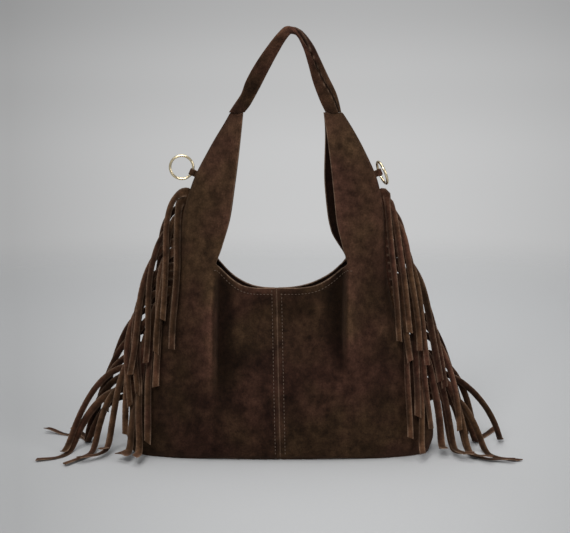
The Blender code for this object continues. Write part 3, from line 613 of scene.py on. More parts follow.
def below_mouth(side, face):
    def at(x):
        return side * x + lean(side * x, mouth_z(x, face)), mouth_z(x, face) - HEM_DEPTH * 0.86
    return fine_line(at, 0.002, CORNER_X + HEM_DEPTH * 0.6)


threads = []
for face, face_name in FACES:
    for side, side_name in SIDES:
        where = f"{face_name}_{side_name}"
        threads.append(sew(f"centre_thread_{where}", beside_centre(side * CENTRE_ROW, face), face))
        threads.append(sew(f"hem_thread_{where}", below_mouth(side, face), face))
print("rows of thread:", len(threads))

# %% [markdown]
# ## The side seams
# Fringe, ring tabs and the panels all meet at the side seams. Three small functions give a place on the
# seam, the way down along it and the way out of it, so that every piece agrees on where the seam is.


# %% Seam directions
def seam_place(side, z):
    x = side * seam_x(z)
    return Vector((x + lean(x, z), 0.0, z))


def seam_down(side, z):
    step = 0.001
    return (seam_place(side, z - step) - seam_place(side, z + step)).normalized()


def seam_out(side, z):
    down = seam_down(side, z)
    return Vector((-down.z, 0.0, down.x)) * side


def seam_heights(high, low, pitch, step=0.0005):
    """Heights along a side seam, one pitch of seam length apart."""
    heights, travelled, z = [high], 0.0, high
    while z > low:
        travelled += (seam_place(1, z) - seam_place(1, z - step)).length
        z -= step
        if travelled >= pitch:
            heights.append(z)
            travelled -= pitch
    return heights


print("the seam leans in, at mid height and in degrees:",
      round(math.degrees(math.asin(seam_down(1, 0.2).x))))

# %% [markdown]
# ## The fringe
# Each comb of fringe is one band of suede cut into strips 9 mm wide and sewn into the side seam. A strip
# is first drawn flat, as a pattern: it leaves the seam square to it, droops, and falls almost straight.
# Then the pattern is hung up. Two strips in a row step in front of the seam and every third one behind
# it, and a strip stands out further for each root that it has passed, so that no two strips cross.
# Where a strip meets the floor it bends and runs on along it. Hair or cloth tools could make many more
# strands, but these are few, wide and flat, and each one has to lie clear of its neighbours.

# %% Sizes of the fringe
FRINGE_THICKNESS = 0.0011
FRINGE_BOTTOM = 0.052
HEADER_OUT = 0.0016
STRIP_WIDTH = 0.0094
STRIP_CUT = 0.0010
STRIP_LENGTH = 0.178
LENGTH_VARIES = 0.05
STEP = 0.001
STEP_ASIDE = 0.0021
STEP_LENGTH = 0.008
LAYER_ASIDE = 0.0014
WALL_CLEAR = 0.0012
FLOOR_BEND = 0.016
FLOOR_TURN_RADIUS = 0.034
FLOOR_LAYER = 0.0019
print("longest strip in mm:", round(1000 * STRIP_LENGTH * (1.0 + LENGTH_VARIES)))

# %% How the strips fall
# How gently a strip bends down, over the share of the way down the comb, and how steeply it then falls
DROOP_LEFT = ((0.0, 0.0175), (0.05, 0.0185), (0.17, 0.0260), (0.26, 0.033), (0.35, 0.042), (0.54, 0.048),
              (0.71, 0.047), (1.0, 0.040))
DROOP_RIGHT = ((0.0, 0.009), (0.13, 0.0200), (0.23, 0.0300), (0.315, 0.0400), (0.45, 0.045), (0.60, 0.048),
               (0.72, 0.048), (0.85, 0.047), (1.0, 0.046))
FALL_LEFT = ((0.0, 86.5), (0.25, 85.0), (0.45, 84.5), (0.7, 82.0), (1.0, 81.0))
FALL_RIGHT = ((0.0, 82.5), (0.25, 84.0), (0.5, 84.5), (0.8, 82.0), (1.0, 80.0))
# Strips that fall in another way than their neighbours: steeper, plumb, or with a droop of their own
SLOPING_IN = {-1: (9, 10, 12), 1: ()}
STEEPER = 12.0
PLUMB = {-1: (7, 8, 11, 13, 15, 16, 18), 1: (10, 11, 13, 16)}
PLUMB_ANGLE = 89.0
OWN_DROOPS = {(-1, 1): 0.0105, (-1, 3): 0.0125, (-1, 5): 0.018, (-1, 7): 0.0165, (-1, 8): 0.021,
              (-1, 11): 0.018, (-1, 13): 0.0145, (-1, 15): 0.0305, (-1, 16): 0.0160, (-1, 18): 0.0210,
              (-1, 19): 0.028, (-1, 21): 0.024, (-1, 22): 0.058, (-1, 24): 0.031, (-1, 25): 0.052,
              (1, 4): 0.0125, (1, 8): 0.022, (1, 10): 0.022, (1, 11): 0.021, (1, 12): 0.0235,
              (1, 13): 0.0125, (1, 16): 0.0165, (1, 18): 0.0215, (1, 19): 0.027, (1, 20): 0.050,
              (1, 21): 0.024, (1, 22): 0.034, (1, 23): 0.068, (1, 24): 0.029}
# The way that a strip takes on the floor, in degrees from straight outward, and how far it may differ
FLOOR_TURN = {-1: 38.0, 1: 36.0}
FLOOR_TURN_MORE = 22.0
print("strips with a droop of their own:", len(OWN_DROOPS))


# %% Draw a strip flat
def roots_passed(heights, z):
    """How many roots lie above this height, with parts of one in between."""
    for index in range(len(heights) - 1):
        if z > heights[index + 1] or index == len(heights) - 2:
            return index + (heights[index] - z) / (heights[index] - heights[index + 1])
    return 0.0


def strip_pattern(side, number, count, z_root, lie, rng):
    """Middle line of one strip drawn flat in the plane of the seams, with its heading at each step."""
    out = seam_out(side, z_root)
    place = seam_place(side, z_root) + out * HEADER_OUT
    way_down = number / (count - 1)
    droop = curve_through(DROOP_LEFT if side < 0 else DROOP_RIGHT, way_down) * rng.uniform(0.90, 1.03)
    droop = OWN_DROOPS.get((side, number), max(droop, 0.009))
    length = STRIP_LENGTH * (1.0 + LENGTH_VARIES * math.sin(number * 3.7 + 1.3 * side))
    steep = curve_through(FALL_LEFT if side < 0 else FALL_RIGHT, way_down) + rng.uniform(-2.5, 2.5)
    if number in SLOPING_IN[side]:
        steep += STEEPER
    if number in PLUMB[side]:
        steep = PLUMB_ANGLE
    fall = -math.radians(steep)
    sway, sway_start = math.radians(rng.uniform(1.0, 4.0)), rng.uniform(0.0, 6.0)
    first = math.atan2(out.z, out.x * side)
    tight = smooth((0.014 - droop) / 0.005)
    floor_heading = -math.radians(FLOOR_TURN[side] + FLOOR_TURN_MORE * math.sin(number * 1.7 + side))
    bend_end = lie + FLOOR_BEND * (1.0 - math.pi / 2)
    heading, points, headings = first, [place.copy()], [first]
    for index in range(1, int(length / STEP) + 1):
        travelled = index * STEP
        if place.z > bend_end:
            bent = travelled / droop
            heading = fall + (first - fall) * mix(math.exp(-bent), max(1.0 - bent, 0.0), tight)
            heading += sway * math.sin(travelled / 0.024 + sway_start) * smooth((travelled - 0.03) / 0.04)
        else:
            heading = min(heading + STEP / FLOOR_TURN_RADIUS, floor_heading)
        place = place + Vector((math.cos(heading) * side, 0.0, math.sin(heading))) * STEP
        points.append(place.copy())
        headings.append(heading)
    return points, headings


print("steps in a strip drawn flat:", int(STRIP_LENGTH / STEP))


# %% Hang a strip
STRIP_STEPS = 56
STRIP_PROFILE = ((-1.0, -0.35), (-0.985, -0.85), (-0.90, -1.0), (-0.45, -1.0), (0.0, -1.0), (0.45, -1.0),
                 (0.90, -1.0), (0.985, -0.85), (1.0, -0.35), (1.0, 0.35), (0.985, 0.85), (0.90, 1.0),
                 (0.45, 1.0), (0.0, 1.0), (-0.45, 1.0), (-0.90, 1.0), (-0.985, 0.85), (-1.0, 0.35))


def strip_face(number):
    """Two strips in a row hang in front of the seam, and every third one hangs behind it."""
    return 1 if number % 3 == 2 else -1


def wall_depth(x, z, face):
    """How far the wall of the bag stands out at this place, or nothing outside the side seam."""
    plain = x - lean(x, z)
    return 0.0 if abs(plain) >= seam_x(z) else abs(wall_point(plain, z, face).y)


def hang_strip(side, number, heights, z_root, rng, points, tones):
    """Adds the points of one hung strip, ring by ring, and returns the rings."""
    count = len(heights) - 1
    face = strip_face(number)
    below = [lower for lower in range(number + 1, count) if strip_face(lower) == face]
    lie = FRINGE_THICKNESS / 2 + TOUCH + FLOOR_LAYER * len(below)
    pattern, headings = strip_pattern(side, number, count, z_root, lie, rng)
    bend_start = lie + FLOOR_BEND
    last = len(pattern) - 1
    half = FRINGE_THICKNESS / 2
    half_width = STRIP_WIDTH / 2 * rng.uniform(0.74, 1.0)
    twist, cup = math.radians(rng.uniform(-16.0, 16.0)), rng.uniform(-0.00035, 0.00035)
    slant, tip_curl, shade = rng.uniform(-0.0025, 0.0025), rng.uniform(0.0, 0.006), rng.uniform(0.0, 1.0)

    def placed(point, travelled, deep):
        bend = clamp((bend_start - point.z) / FLOOR_BEND, 0.0, math.pi / 2)
        high = max(point.z, bend_start)
        on_floor = max(bend_start - point.z - FLOOR_BEND * math.pi / 2, 0.0)
        aside = STEP_ASIDE * smooth(travelled / STEP_LENGTH)
        aside += LAYER_ASIDE * (roots_passed(heights, high) - number - 0.5)
        if travelled > STEP_LENGTH:
            aside = max(aside, wall_depth(point.x, high, face) + WALL_CLEAR + 0.4 * aside)
        aside += FLOOR_BEND * (1.0 - math.cos(bend)) + on_floor
        z = high - FLOOR_BEND * math.sin(bend) + face * deep * math.sin(bend)
        if on_floor > 0.0:
            z += tip_curl * smooth((travelled / STEP - last + 30) / 30.0)
        return Vector((point.x, face * aside + deep * math.cos(bend), z))

    rings = []
    for station in range(STRIP_STEPS + 1):
        cursor = round(station * last / STRIP_STEPS)
        travelled = cursor * STEP
        heading = headings[cursor]
        across = Vector((math.sin(heading) * side, 0.0, -math.cos(heading))) * -1.0
        onward = Vector((math.cos(heading) * side, 0.0, math.sin(heading)))
        grown = smooth(travelled / 0.02)
        turn = twist * smooth((travelled - 0.03) / 0.10)
        width = half_width * (1.0 + 0.035 * wander(travelled * 55.0, number, side, 3.0) * grown)
        width = mix((STRIP_WIDTH + STRIP_CUT) / 2 + 0.0003, width, smooth((travelled - 0.004) / 0.014))
        rings.append(range(len(points), len(points) + len(STRIP_PROFILE)))
        for u, v in STRIP_PROFILE:
            tip = slant * u * (station / STRIP_STEPS) ** 8
            place = pattern[cursor] - across * (u * width * math.cos(turn)) + onward * tip
            deep = v * half + (cup * (u * u - 0.4) + u * width * math.sin(turn) * 0.35) * grown
            points.append(placed(place, travelled, deep))
            edge = 1.0 if abs(u) > 0.99 else 0.8 if abs(u) > 0.95 else 0.25 if abs(u) > 0.8 else 0.0
            # Painted shade near the root, where the neighbour in front covers a strip, and on every strip
            # that hangs behind; the pale cut edge dims where covered
            covered = smooth((u + 0.55) / 1.1) * grown * smooth((last - cursor - 8) / 14.0)
            dark = max(0.35 * (1.0 - grown), 0.80 * covered) + (0.30 if face > 0 else 0.0)
            tones.append((shade, min(dark, 1.0), edge * (1.0 - 0.7 * covered)))
    return rings


print("rings in a strip:", STRIP_STEPS + 1)


# %% Build the two combs
def make_comb(name, side):
    pitch = STRIP_WIDTH + STRIP_CUT
    heights = seam_heights(FRINGE_TOP, FRINGE_BOTTOM, pitch)
    rng = random.Random(7 + side)
    points, faces, tones = [], [], []
    half = FRINGE_THICKNESS / 2
    for number in range(len(heights) - 1):
        z_root = mix(heights[number], heights[number + 1], STRIP_WIDTH / pitch / 2)
        rings = hang_strip(side, number, heights, z_root, rng, points, tones)
        tube(rings, faces, turned=side < 0)
    header = []
    for z in heights:
        inner = seam_place(side, z) - seam_out(side, z) * 0.001
        outer = seam_place(side, z) + seam_out(side, z) * (HEADER_OUT + 0.0004)
        header.append(range(len(points), len(points) + 4))
        for p, y in ((inner, -half), (outer, -half), (outer, half), (inner, half)):
            points.append(p + Vector((0.0, y, 0.0)))
            tones.append((0.4, 0.3, 0.0))
    tube(header, faces, turned=side > 0)
    return add_piece(name, points, faces, tones, smooth_angle=50.0)


fringes = []
for side, side_name in SIDES:
    comb = make_comb(f"strips_{side_name}", side)
    fringes.append(dress(comb, "fringe_suede", f"fringe_{side_name}"))

# %% [markdown]
# ## The lining
# Inside hangs a black cloth pouch, sewn in along the mouth. It follows the panels at a little distance
# and has more room in the belly, where it hangs free in shallow folds. It is one closed surface, front,
# back and floor, so it is built as one grid that runs once round the bag.

# %% Build the lining
LINING_EASE = 0.0005
LINING_SLACK = 0.0105
LINING_ROWS = 60
LINING_AROUND = 30


def lining_slack(z):
    return curve_through(((0.0, 0.0), (0.03, 0.7), (0.10, 1.0), (0.155, 0.75), (0.18, 0.05), (0.25, 0.10)), z)


def lining_point(side, face, around, share):
    """A point of the pouch: around runs from the middle (0) to the side seam (1)."""
    top_z = mix(mouth_z(CORNER_X * around * 1.4, face), 0.372, smooth((around - 0.60) / 0.3))
    top_z -= 0.012
    z = mix(0.0, top_z, share)
    x = seam_x(z) * around
    outer = wall_point(side * x, max(z, 0.003), face)
    snug = SUEDE + LINING_EASE + LINING_SLACK * lining_slack(z)
    slack_fold = 0.0012 * wander(side * x * 60.0, face * 4.0, z * 16.0, 5.0) * smooth(lining_slack(z))
    room = max(abs(outer.y) - snug - 0.0035 * smooth(around) + slack_fold, 0.0006 * (1.0 - around))
    x_in = outer.x - side * (SUEDE + 0.004) * smooth((around - 0.55) / 0.45)
    return Vector((x_in, face * room, max(z, 0.0026)))


def make_lining():
    quarters = ((-1, -1, True), (1, -1, False), (1, 1, True), (-1, 1, False))
    loop = [(side, face, 1.0 - k / LINING_AROUND if inward else k / LINING_AROUND)
            for side, face, inward in quarters for k in range(LINING_AROUND)]
    count, half = len(loop), len(loop) // 2
    points = [lining_point(*spot, r / LINING_ROWS) for r in range(LINING_ROWS + 1) for spot in loop]
    faces = []
    tube([range(r * count, (r + 1) * count) for r in range(LINING_ROWS + 1)], faces, caps=False)
    faces += [(k, count - k, count - k - 1, k + 1) for k in range(1, half - 1)]
    faces += [(0, count - 1, 1), (half, half - 1, half + 1)]
    return add_piece("pouch_lining", points, faces, [(0.0, 0.0, 0.0)] * len(points))


pouch = dress(make_lining(), "lining_cloth", "lining")

# %% [markdown]
# ## The shoulder strap
# The strap is one long band, folded lengthwise so that its two edges meet in a cleft, and sewn to the
# tips of the horns. It twists near its top, so the cleft turns to the front there. A cross-section with
# a cleft is swept along a smooth line, and each place on the line has its own width and turn.

# %% Strap line and section
STRAP_APEX = 0.5240


def strap_route():
    """Places on the strap's line, from the left tip to the right: x, y, z, width and turn in degrees."""
    rise = STRAP_APEX - TIP_HEIGHT
    middle = (TIP_INNER + TIP_OUTER) / 2
    left = -middle + lean(-middle, TIP_HEIGHT)
    right = middle + lean(middle, TIP_HEIGHT)
    wide = TIP_OUTER - TIP_INNER
    return (
        (left, 0.0, TIP_HEIGHT + TOUCH, wide, 0),
        (-0.0415, 0.0, TIP_HEIGHT + 0.17 * rise, 0.0165, -5),
        (-0.0335, 0.0, TIP_HEIGHT + 0.34 * rise, 0.0190, -10),
        (-0.0240, 0.0, TIP_HEIGHT + 0.52 * rise, 0.0185, -10),
        (-0.0120, 0.0, TIP_HEIGHT + 0.72 * rise, 0.0160, 0),
        (0.0010, 0.0, TIP_HEIGHT + 0.91 * rise, 0.0130, 20),
        (0.0110, 0.0, STRAP_APEX, 0.0120, 50),
        (0.0230, 0.0, TIP_HEIGHT + 0.955 * rise, 0.0125, 100),
        (0.0335, 0.0, TIP_HEIGHT + 0.80 * rise, 0.0140, 140),
        (0.0405, 0.0, TIP_HEIGHT + 0.63 * rise, 0.0160, 165),
        (0.0490, 0.0, TIP_HEIGHT + 0.40 * rise, 0.0200, 178),
        (0.0580, 0.0, TIP_HEIGHT + 0.19 * rise, 0.0220, 180),
        (right, 0.0, TIP_HEIGHT + TOUCH, wide, 180),
    )


def spline_at(points, share):
    """Catmull-Rom reading of a list of points of any length, from 0 at the start to 1 at the end."""
    position = share * (len(points) - 1)
    index = min(int(position), len(points) - 2)
    t = position - index
    p0 = points[max(index - 1, 0)]
    p1, p2 = points[index], points[index + 1]
    p3 = points[min(index + 2, len(points) - 1)]
    return [0.5 * (2 * b + (c - a) * t + (2 * a - 5 * b + 4 * c - d) * t * t
                   + (3 * b - a - 3 * c + d) * t ** 3) for a, b, c, d in zip(p0, p1, p2, p3)]


CLEFT_PLACE = ((0.0, 0.08), (0.45, 0.30), (0.56, 0.36), (0.68, 0.16), (0.82, -0.08), (0.93, -0.26),
               (1.0, -0.36))
CLEFT_WIDTH = ((0.0, 0.055), (0.46, 0.06), (0.54, 0.20), (0.62, 0.16), (0.70, 0.05), (1.0, 0.045))


def strap_ring(width, thickness, sides, position):
    """One cross-section: an oval with a cleft, open near the top, and pale raw edges at its lips."""
    cleft_at = curve_through(CLEFT_PLACE, position)
    cleft_width = curve_through(CLEFT_WIDTH, position)
    ring = []
    for k in range(sides):
        a = 2.0 * math.pi * k / sides
        u = 0.5 * width * math.copysign(abs(math.cos(a)) ** 0.8, math.cos(a))
        v = 0.5 * thickness * math.copysign(abs(math.sin(a)) ** 0.8, math.sin(a))
        gap = (u / width - cleft_at) / cleft_width
        cleft = math.exp(-gap * gap) if v < 0.0 else 0.0
        lip = math.exp(-((abs(gap) - 1.35) / 0.35) ** 2) if v < 0.0 else 0.0
        v *= 1.0 - 1.05 * cleft
        v *= 1.0 + 0.09 * wander(u * 160.0, position * 140.0, 0.0, 7.0)
        ring.append((u, v, cleft, lip))
    return ring


print("places on the strap's line:", len(strap_route()))

# %% Build the strap
STRAP_FINE = 260
STRAP_SIDES = 64
STRAP_THICKNESS = 0.0088


def make_strap():
    route = strap_route()
    thickness_at_tip = 2.0 * TIP_HALF_DEPTH - TOUCH
    places = [spline_at(route, i / STRAP_FINE) for i in range(STRAP_FINE + 1)]
    points, faces, tones, rings = [], [], [], []
    for index, (x, y, z, width, turn) in enumerate(places):
        before = Vector(places[max(index - 1, 0)][:3])
        after = Vector(places[min(index + 1, STRAP_FINE)][:3])
        tangent = (after - before).normalized()
        near_end = 1.0 - smooth(min(index, STRAP_FINE - index) / (0.1 * STRAP_FINE))
        upright = Vector((0.0, 0.0, 1.0 if index < STRAP_FINE / 2 else -1.0))
        tangent = tangent.lerp(upright, near_end).normalized()
        across = Vector((0.0, 1.0, 0.0)).cross(tangent).normalized()
        deep = tangent.cross(across).normalized()
        angle = math.radians(turn + 180.0)
        thickness = mix(STRAP_THICKNESS, thickness_at_tip, near_end)
        # Where the strap gets a painted highlight: along its top
        top_highlight = smooth(1.0 - abs(index / STRAP_FINE - 0.49) / 0.12)
        rings.append(range(len(points), len(points) + STRAP_SIDES))
        for u, v, cleft, lip in strap_ring(width, thickness, STRAP_SIDES, index / STRAP_FINE):
            uu = u * math.cos(angle) - v * math.sin(angle)
            vv = u * math.sin(angle) + v * math.cos(angle)
            points.append(Vector((x, y, z)) + across * uu + deep * vv)
            edge = clamp(abs(u) / (0.5 * width)) ** 6
            ragged = 0.6 + 0.4 * wander(u * 50.0, index * 0.21, 3.0, 8.0)
            # Paler worn edges and a painted highlight along the top, painted shade in the cleft, and pale raw
            # edges at its lips
            tones.append((clamp(0.7 * edge + 0.8 * top_highlight), clamp(cleft * 1.5 - 0.2), 0.55 * lip * ragged))
    tube(rings, faces)
    return add_piece("folded_strap", points, faces, tones)


strap = dress(make_strap(), "strap_suede", "shoulder_strap")

# %% [markdown]
# ## Rings and their tabs
# A gold O-ring hangs in a small suede tab at the top of each side seam, ready for a longer strap. The
# ring is round wire, so a fine torus is exact, and it turns on the line where the tab holds it. The tab
# is a short strip folded round the wire, with both of its legs sewn into the seam.

# %% Sizes of the rings and tabs
RING_RADIUS = 0.0142
WIRE_RADIUS = 0.0016
TAB_WIDTH = 0.008
TAB_THICKNESS = 0.0011
TAB_TUCK = 0.0012
TAB_NECK = 0.0015
RIGHT_RING_TURN = 78.0


def loop_radius():
    """Inside radius of the tab's loop: the wire's radius, its bow across the tab, and clearance."""
    bow = RING_RADIUS - math.sqrt(RING_RADIUS ** 2 - (TAB_WIDTH / 2) ** 2)
    return WIRE_RADIUS + bow + TOUCH


def tab_axis(side):
    out = seam_out(side, RING_HEIGHT)
    return seam_place(side, RING_HEIGHT) + out * (TAB_NECK + loop_radius() + TAB_THICKNESS), out


print("room inside a tab's loop in mm:", round(2000 * loop_radius(), 1))


# %% Shape of a ring
RING_AROUND = 120
WIRE_AROUND = 20
WELD_AT = 78.0


def make_ring(name, side, turn):
    centre, out = tab_axis(side)
    along = seam_down(side, RING_HEIGHT)
    radial = Matrix.Rotation(math.radians(turn), 3, along) @ out
    normal = along.cross(radial).normalized()
    points, faces, circles = [], [], []
    for i in range(RING_AROUND):
        a = 2.0 * math.pi * i / RING_AROUND
        spoke = radial * math.cos(a) + along * math.sin(a)
        weld = 1.0 + 0.05 * math.exp(-((i - WELD_AT) / 1.4) ** 2)
        circles.append(range(len(points), len(points) + WIRE_AROUND))
        for j in range(WIRE_AROUND):
            b = 2.0 * math.pi * j / WIRE_AROUND
            reach = RING_RADIUS + WIRE_RADIUS * weld * math.cos(b)
            points.append(centre + radial * RING_RADIUS + spoke * reach
                          + normal * (WIRE_RADIUS * weld * math.sin(b)))
    tube(circles + circles[:1], faces, caps=False)
    return add_piece(name, points, faces)


print("ring outside diameter in mm:", round(2000 * (RING_RADIUS + WIRE_RADIUS), 1))


# %% Build the rings and tabs
LOOP_STEPS = 24
TAB_COLUMNS = 10


def tab_line(reach):
    """The tab seen from above: in along one leg, round the wire, and back along the other leg."""
    radius = loop_radius() + TAB_THICKNESS
    leg = TOUCH / 2 + TAB_THICKNESS
    opening = math.asin(leg / radius)
    line = [(-reach, leg), (-reach * 0.8, leg)]
    for step in range(LOOP_STEPS + 1):
        a = mix(math.pi - opening, -math.pi + opening, step / LOOP_STEPS)
        line.append((radius * math.cos(a), radius * math.sin(a)))
    return line + [(-reach * 0.8, -leg), (-reach, -leg)]


def make_tab(name, side):
    centre, out = tab_axis(side)
    along = seam_down(side, RING_HEIGHT)
    depth = Vector((0.0, 1.0, 0.0))
    line = tab_line((seam_place(side, RING_HEIGHT) - centre).length + TAB_TUCK)
    rows = [[centre + out * u + depth * v + along * mix(-TAB_WIDTH / 2, TAB_WIDTH / 2, k / TAB_COLUMNS)
             for k in range(TAB_COLUMNS + 1)] for u, v in line]
    points, normals, quads = [], [], []
    for index, (row, raw_normals) in enumerate(zip(rows, grid_normals(rows, -1.0))):
        on_leg = index < 2 or index >= len(rows) - 2
        for point, raw in zip(row, raw_normals):
            plain = depth if on_leg else (raw - along * raw.dot(along)).normalized()
            points.append(point)
            normals.append(plain * (1.0 if plain.dot(point - centre) >= 0.0 else -1.0))
    for r in range(len(rows) - 1):
        for k in range(TAB_COLUMNS):
            a = r * (TAB_COLUMNS + 1) + k
            quad = (a, a + 1, a + TAB_COLUMNS + 2, a + TAB_COLUMNS + 1)
            facing = (points[quad[1]] - points[a]).cross(points[quad[3]] - points[a])
            quads.append(quad if facing.dot(normals[a]) > 0.0 else quad[::-1])
    tones = [(0.5, 0.1, 0.0)] * len(points)
    return add_piece(name, *thick_sheet(points, normals, [TAB_THICKNESS] * len(points), quads, tones))


gold_rings, tabs = [], []
for side, side_name, turn in ((-1, "left", 0.0), (1, "right", RIGHT_RING_TURN)):
    ring = make_ring(f"gold_ring_{side_name}", side, turn)
    gold_rings.append(dress(ring, "pale_gold", f"ring_{side_name}", body=f"ring_{side_name}"))
    tab = make_tab(f"suede_tab_{side_name}", side)
    tabs.append(dress(tab, "strap_suede", f"ring_tab_{side_name}"))

# %% [markdown]
# ## The base
# A flat bottom of the same suede closes the bag between the lower edges of the panels. It is seen only
# when the bag is turned over, but it still gets its own rounded outline and a pressed seam near its edge.

# %% Build the base
BASE_THICKNESS = 0.0018
BASE_RINGS = 26


def base_outline():
    """The edge of the base, one quarter after another, once round the bag."""
    outline, columns = [], COLUMNS * ACROSS
    for face, side, forward in ((-1, -1, False), (-1, 1, True), (1, 1, False), (1, -1, True)):
        for step in range(2, columns + 1, 2) if forward else range(columns - 2, -1, -2):
            x = seam_x(0.0) * crowded(step / columns, FLOOR_CROWDING)
            point = wall_point(side * x, 0.0, face)
            outline.append(Vector((point.x, point.y, 0.0)))
    return outline


def make_base():
    outline, margin = base_outline(), SUEDE + TOUCH
    shrink_x, shrink_y = 1.0 - margin / BASE_HALF_WIDTH, 1.0 - margin / BASE_HALF_DEPTH
    points, tones, rings, quads = [], [], [], []
    for layer in range(BASE_RINGS):
        inward = crowded(layer / (BASE_RINGS - 1), 1.6)
        left = 1.0 - inward * 0.999
        dent = 0.0004 * math.exp(-((inward * BASE_HALF_DEPTH - 0.006) / 0.0012) ** 2)
        rings.append(range(len(points), len(points) + len(outline)))
        points += [Vector((p.x * shrink_x * left, p.y * shrink_y * left, dent)) for p in outline]
        tones += [(0.3, 0.3 * (1.0 - inward), 0.0)] * len(outline)
    tube(rings, quads, turned=True, caps=False)
    quads.append(tuple(reversed(rings[-1])))
    down = [Vector((0.0, 0.0, -1.0))] * len(points)
    return add_piece("suede_base", *thick_sheet(points, down, [BASE_THICKNESS] * len(points), quads, tones))


suede_pieces.append(dress(make_base(), "body_suede", "base_panel"))

# %% [markdown]
# ## Suede
# Suede is the brushed flesh side of leather. It has no gloss, a soft bloom of light at grazing angles,
# and patches where the nap lies another way. The colour is built up from noises of several sizes, the
# tone painted on the points makes worn ridges paler, adds painted highlights and mixes in painted
# shade, and a fine bump gives the nap.


# %% Short ways to build nodes
class Nodes:
    """Short ways to add and link the nodes of one material, or of the world."""

    def __init__(self, owner):
        owner.use_nodes = True
        self.owner, self.tree = owner, owner.node_tree

    def feed(self, value, socket):
        """Gives a socket a number or a colour, or links another node's output to it."""
        if isinstance(value, tuple) and socket.type == "RGBA":
            socket.default_value = (*value, 1.0)
        elif isinstance(value, (int, float, tuple)):
            socket.default_value = value
        else:
            self.tree.links.new(value, socket)

    def fill(self, node, sockets):
        for name, value in sockets.items():
            self.feed(value, node.inputs[name])
        return node

    def shade(self, sockets):
        """Feeds the material's own shader."""
        self.fill(self.tree.nodes["Principled BSDF"], sockets)
        return self.owner

    def add(self, kind, **values):
        node = self.tree.nodes.new(kind)
        for key, value in values.items():
            setattr(node, key, value)
        return node

    def place(self, kind="Object"):
        return self.add("ShaderNodeTexCoord").outputs[kind]

    def parts(self, vector):
        """The three parts of a vector: x, y and z."""
        return self.fill(self.add("ShaderNodeSeparateXYZ"), {"Vector": vector}).outputs

    def stretched(self, scale):
        mapping = self.add("ShaderNodeMapping")
        return self.fill(mapping, {"Scale": scale, "Vector": self.place()}).outputs["Vector"]

    def noise(self, scale, detail=4.0, roughness=0.55, vector=None, distortion=0.0):
        return self.fill(self.add("ShaderNodeTexNoise"), {
            "Scale": scale, "Detail": detail, "Roughness": roughness, "Distortion": distortion,
            "Vector": vector or self.place()}).outputs["Fac"]

    def ramp(self, source, low, high, to_low=0.0, to_high=1.0, kind="LINEAR"):
        return self.fill(self.add("ShaderNodeMapRange", interpolation_type=kind), {
            "Value": source, "From Min": low, "From Max": high, "To Min": to_low,
            "To Max": to_high}).outputs["Result"]

    def math(self, operation, *values):
        node = self.add("ShaderNodeMath", operation=operation)
        for value, socket in zip(values, node.inputs):
            self.feed(value, socket)
        return node.outputs["Value"]

    def scaled(self, colour, amount):
        node = self.add("ShaderNodeVectorMath", operation="SCALE")
        return self.fill(node, {0: colour, "Scale": amount}).outputs["Vector"]

    def mix_colour(self, amount, a, b, blend="MIX"):
        node = self.add("ShaderNodeMix", data_type="RGBA", blend_type=blend)
        factor = [s for s in node.inputs if s.name == "Factor" and s.type == "VALUE"]
        for value, socket in zip((amount, a, b), factor + [s for s in node.inputs if s.type == "RGBA"]):
            self.feed(value, socket)
        return [s for s in node.outputs if s.type == "RGBA"][0]

    def tone(self):
        """The painted tone of each point as three values: wear and painted highlight, painted shade, and cut
        edge.
        """
        attribute = self.add("ShaderNodeAttribute", attribute_name="tone")
        parts = self.fill(self.add("ShaderNodeSeparateColor"), {"Color": attribute.outputs["Color"]})
        return parts.outputs["Red"], parts.outputs["Green"], parts.outputs["Blue"]

    def bump(self, height, strength, distance, under=None):
        node = self.add("ShaderNodeBump")
        self.fill(node, {"Strength": strength, "Distance": distance, "Height": height})
        if under is not None:
            self.feed(under, node.inputs["Normal"])
        return node.outputs["Normal"]


def new_material(name):
    return Nodes(bpy.data.materials.new(name))


def wear(pieces, material):
    for piece in pieces:
        piece.data.materials.clear()
        piece.data.materials.append(material)


print("helpers for nodes:", Nodes.__name__, new_material.__name__, wear.__name__)

# %% Suede material
SUEDE_DARK = (0.0060, 0.0030, 0.0019)
SUEDE_MIDDLE = (0.0215, 0.0108, 0.0070)
SUEDE_WARM = (0.0620, 0.0335, 0.0215)
CUT_EDGE = (0.190, 0.125, 0.085)


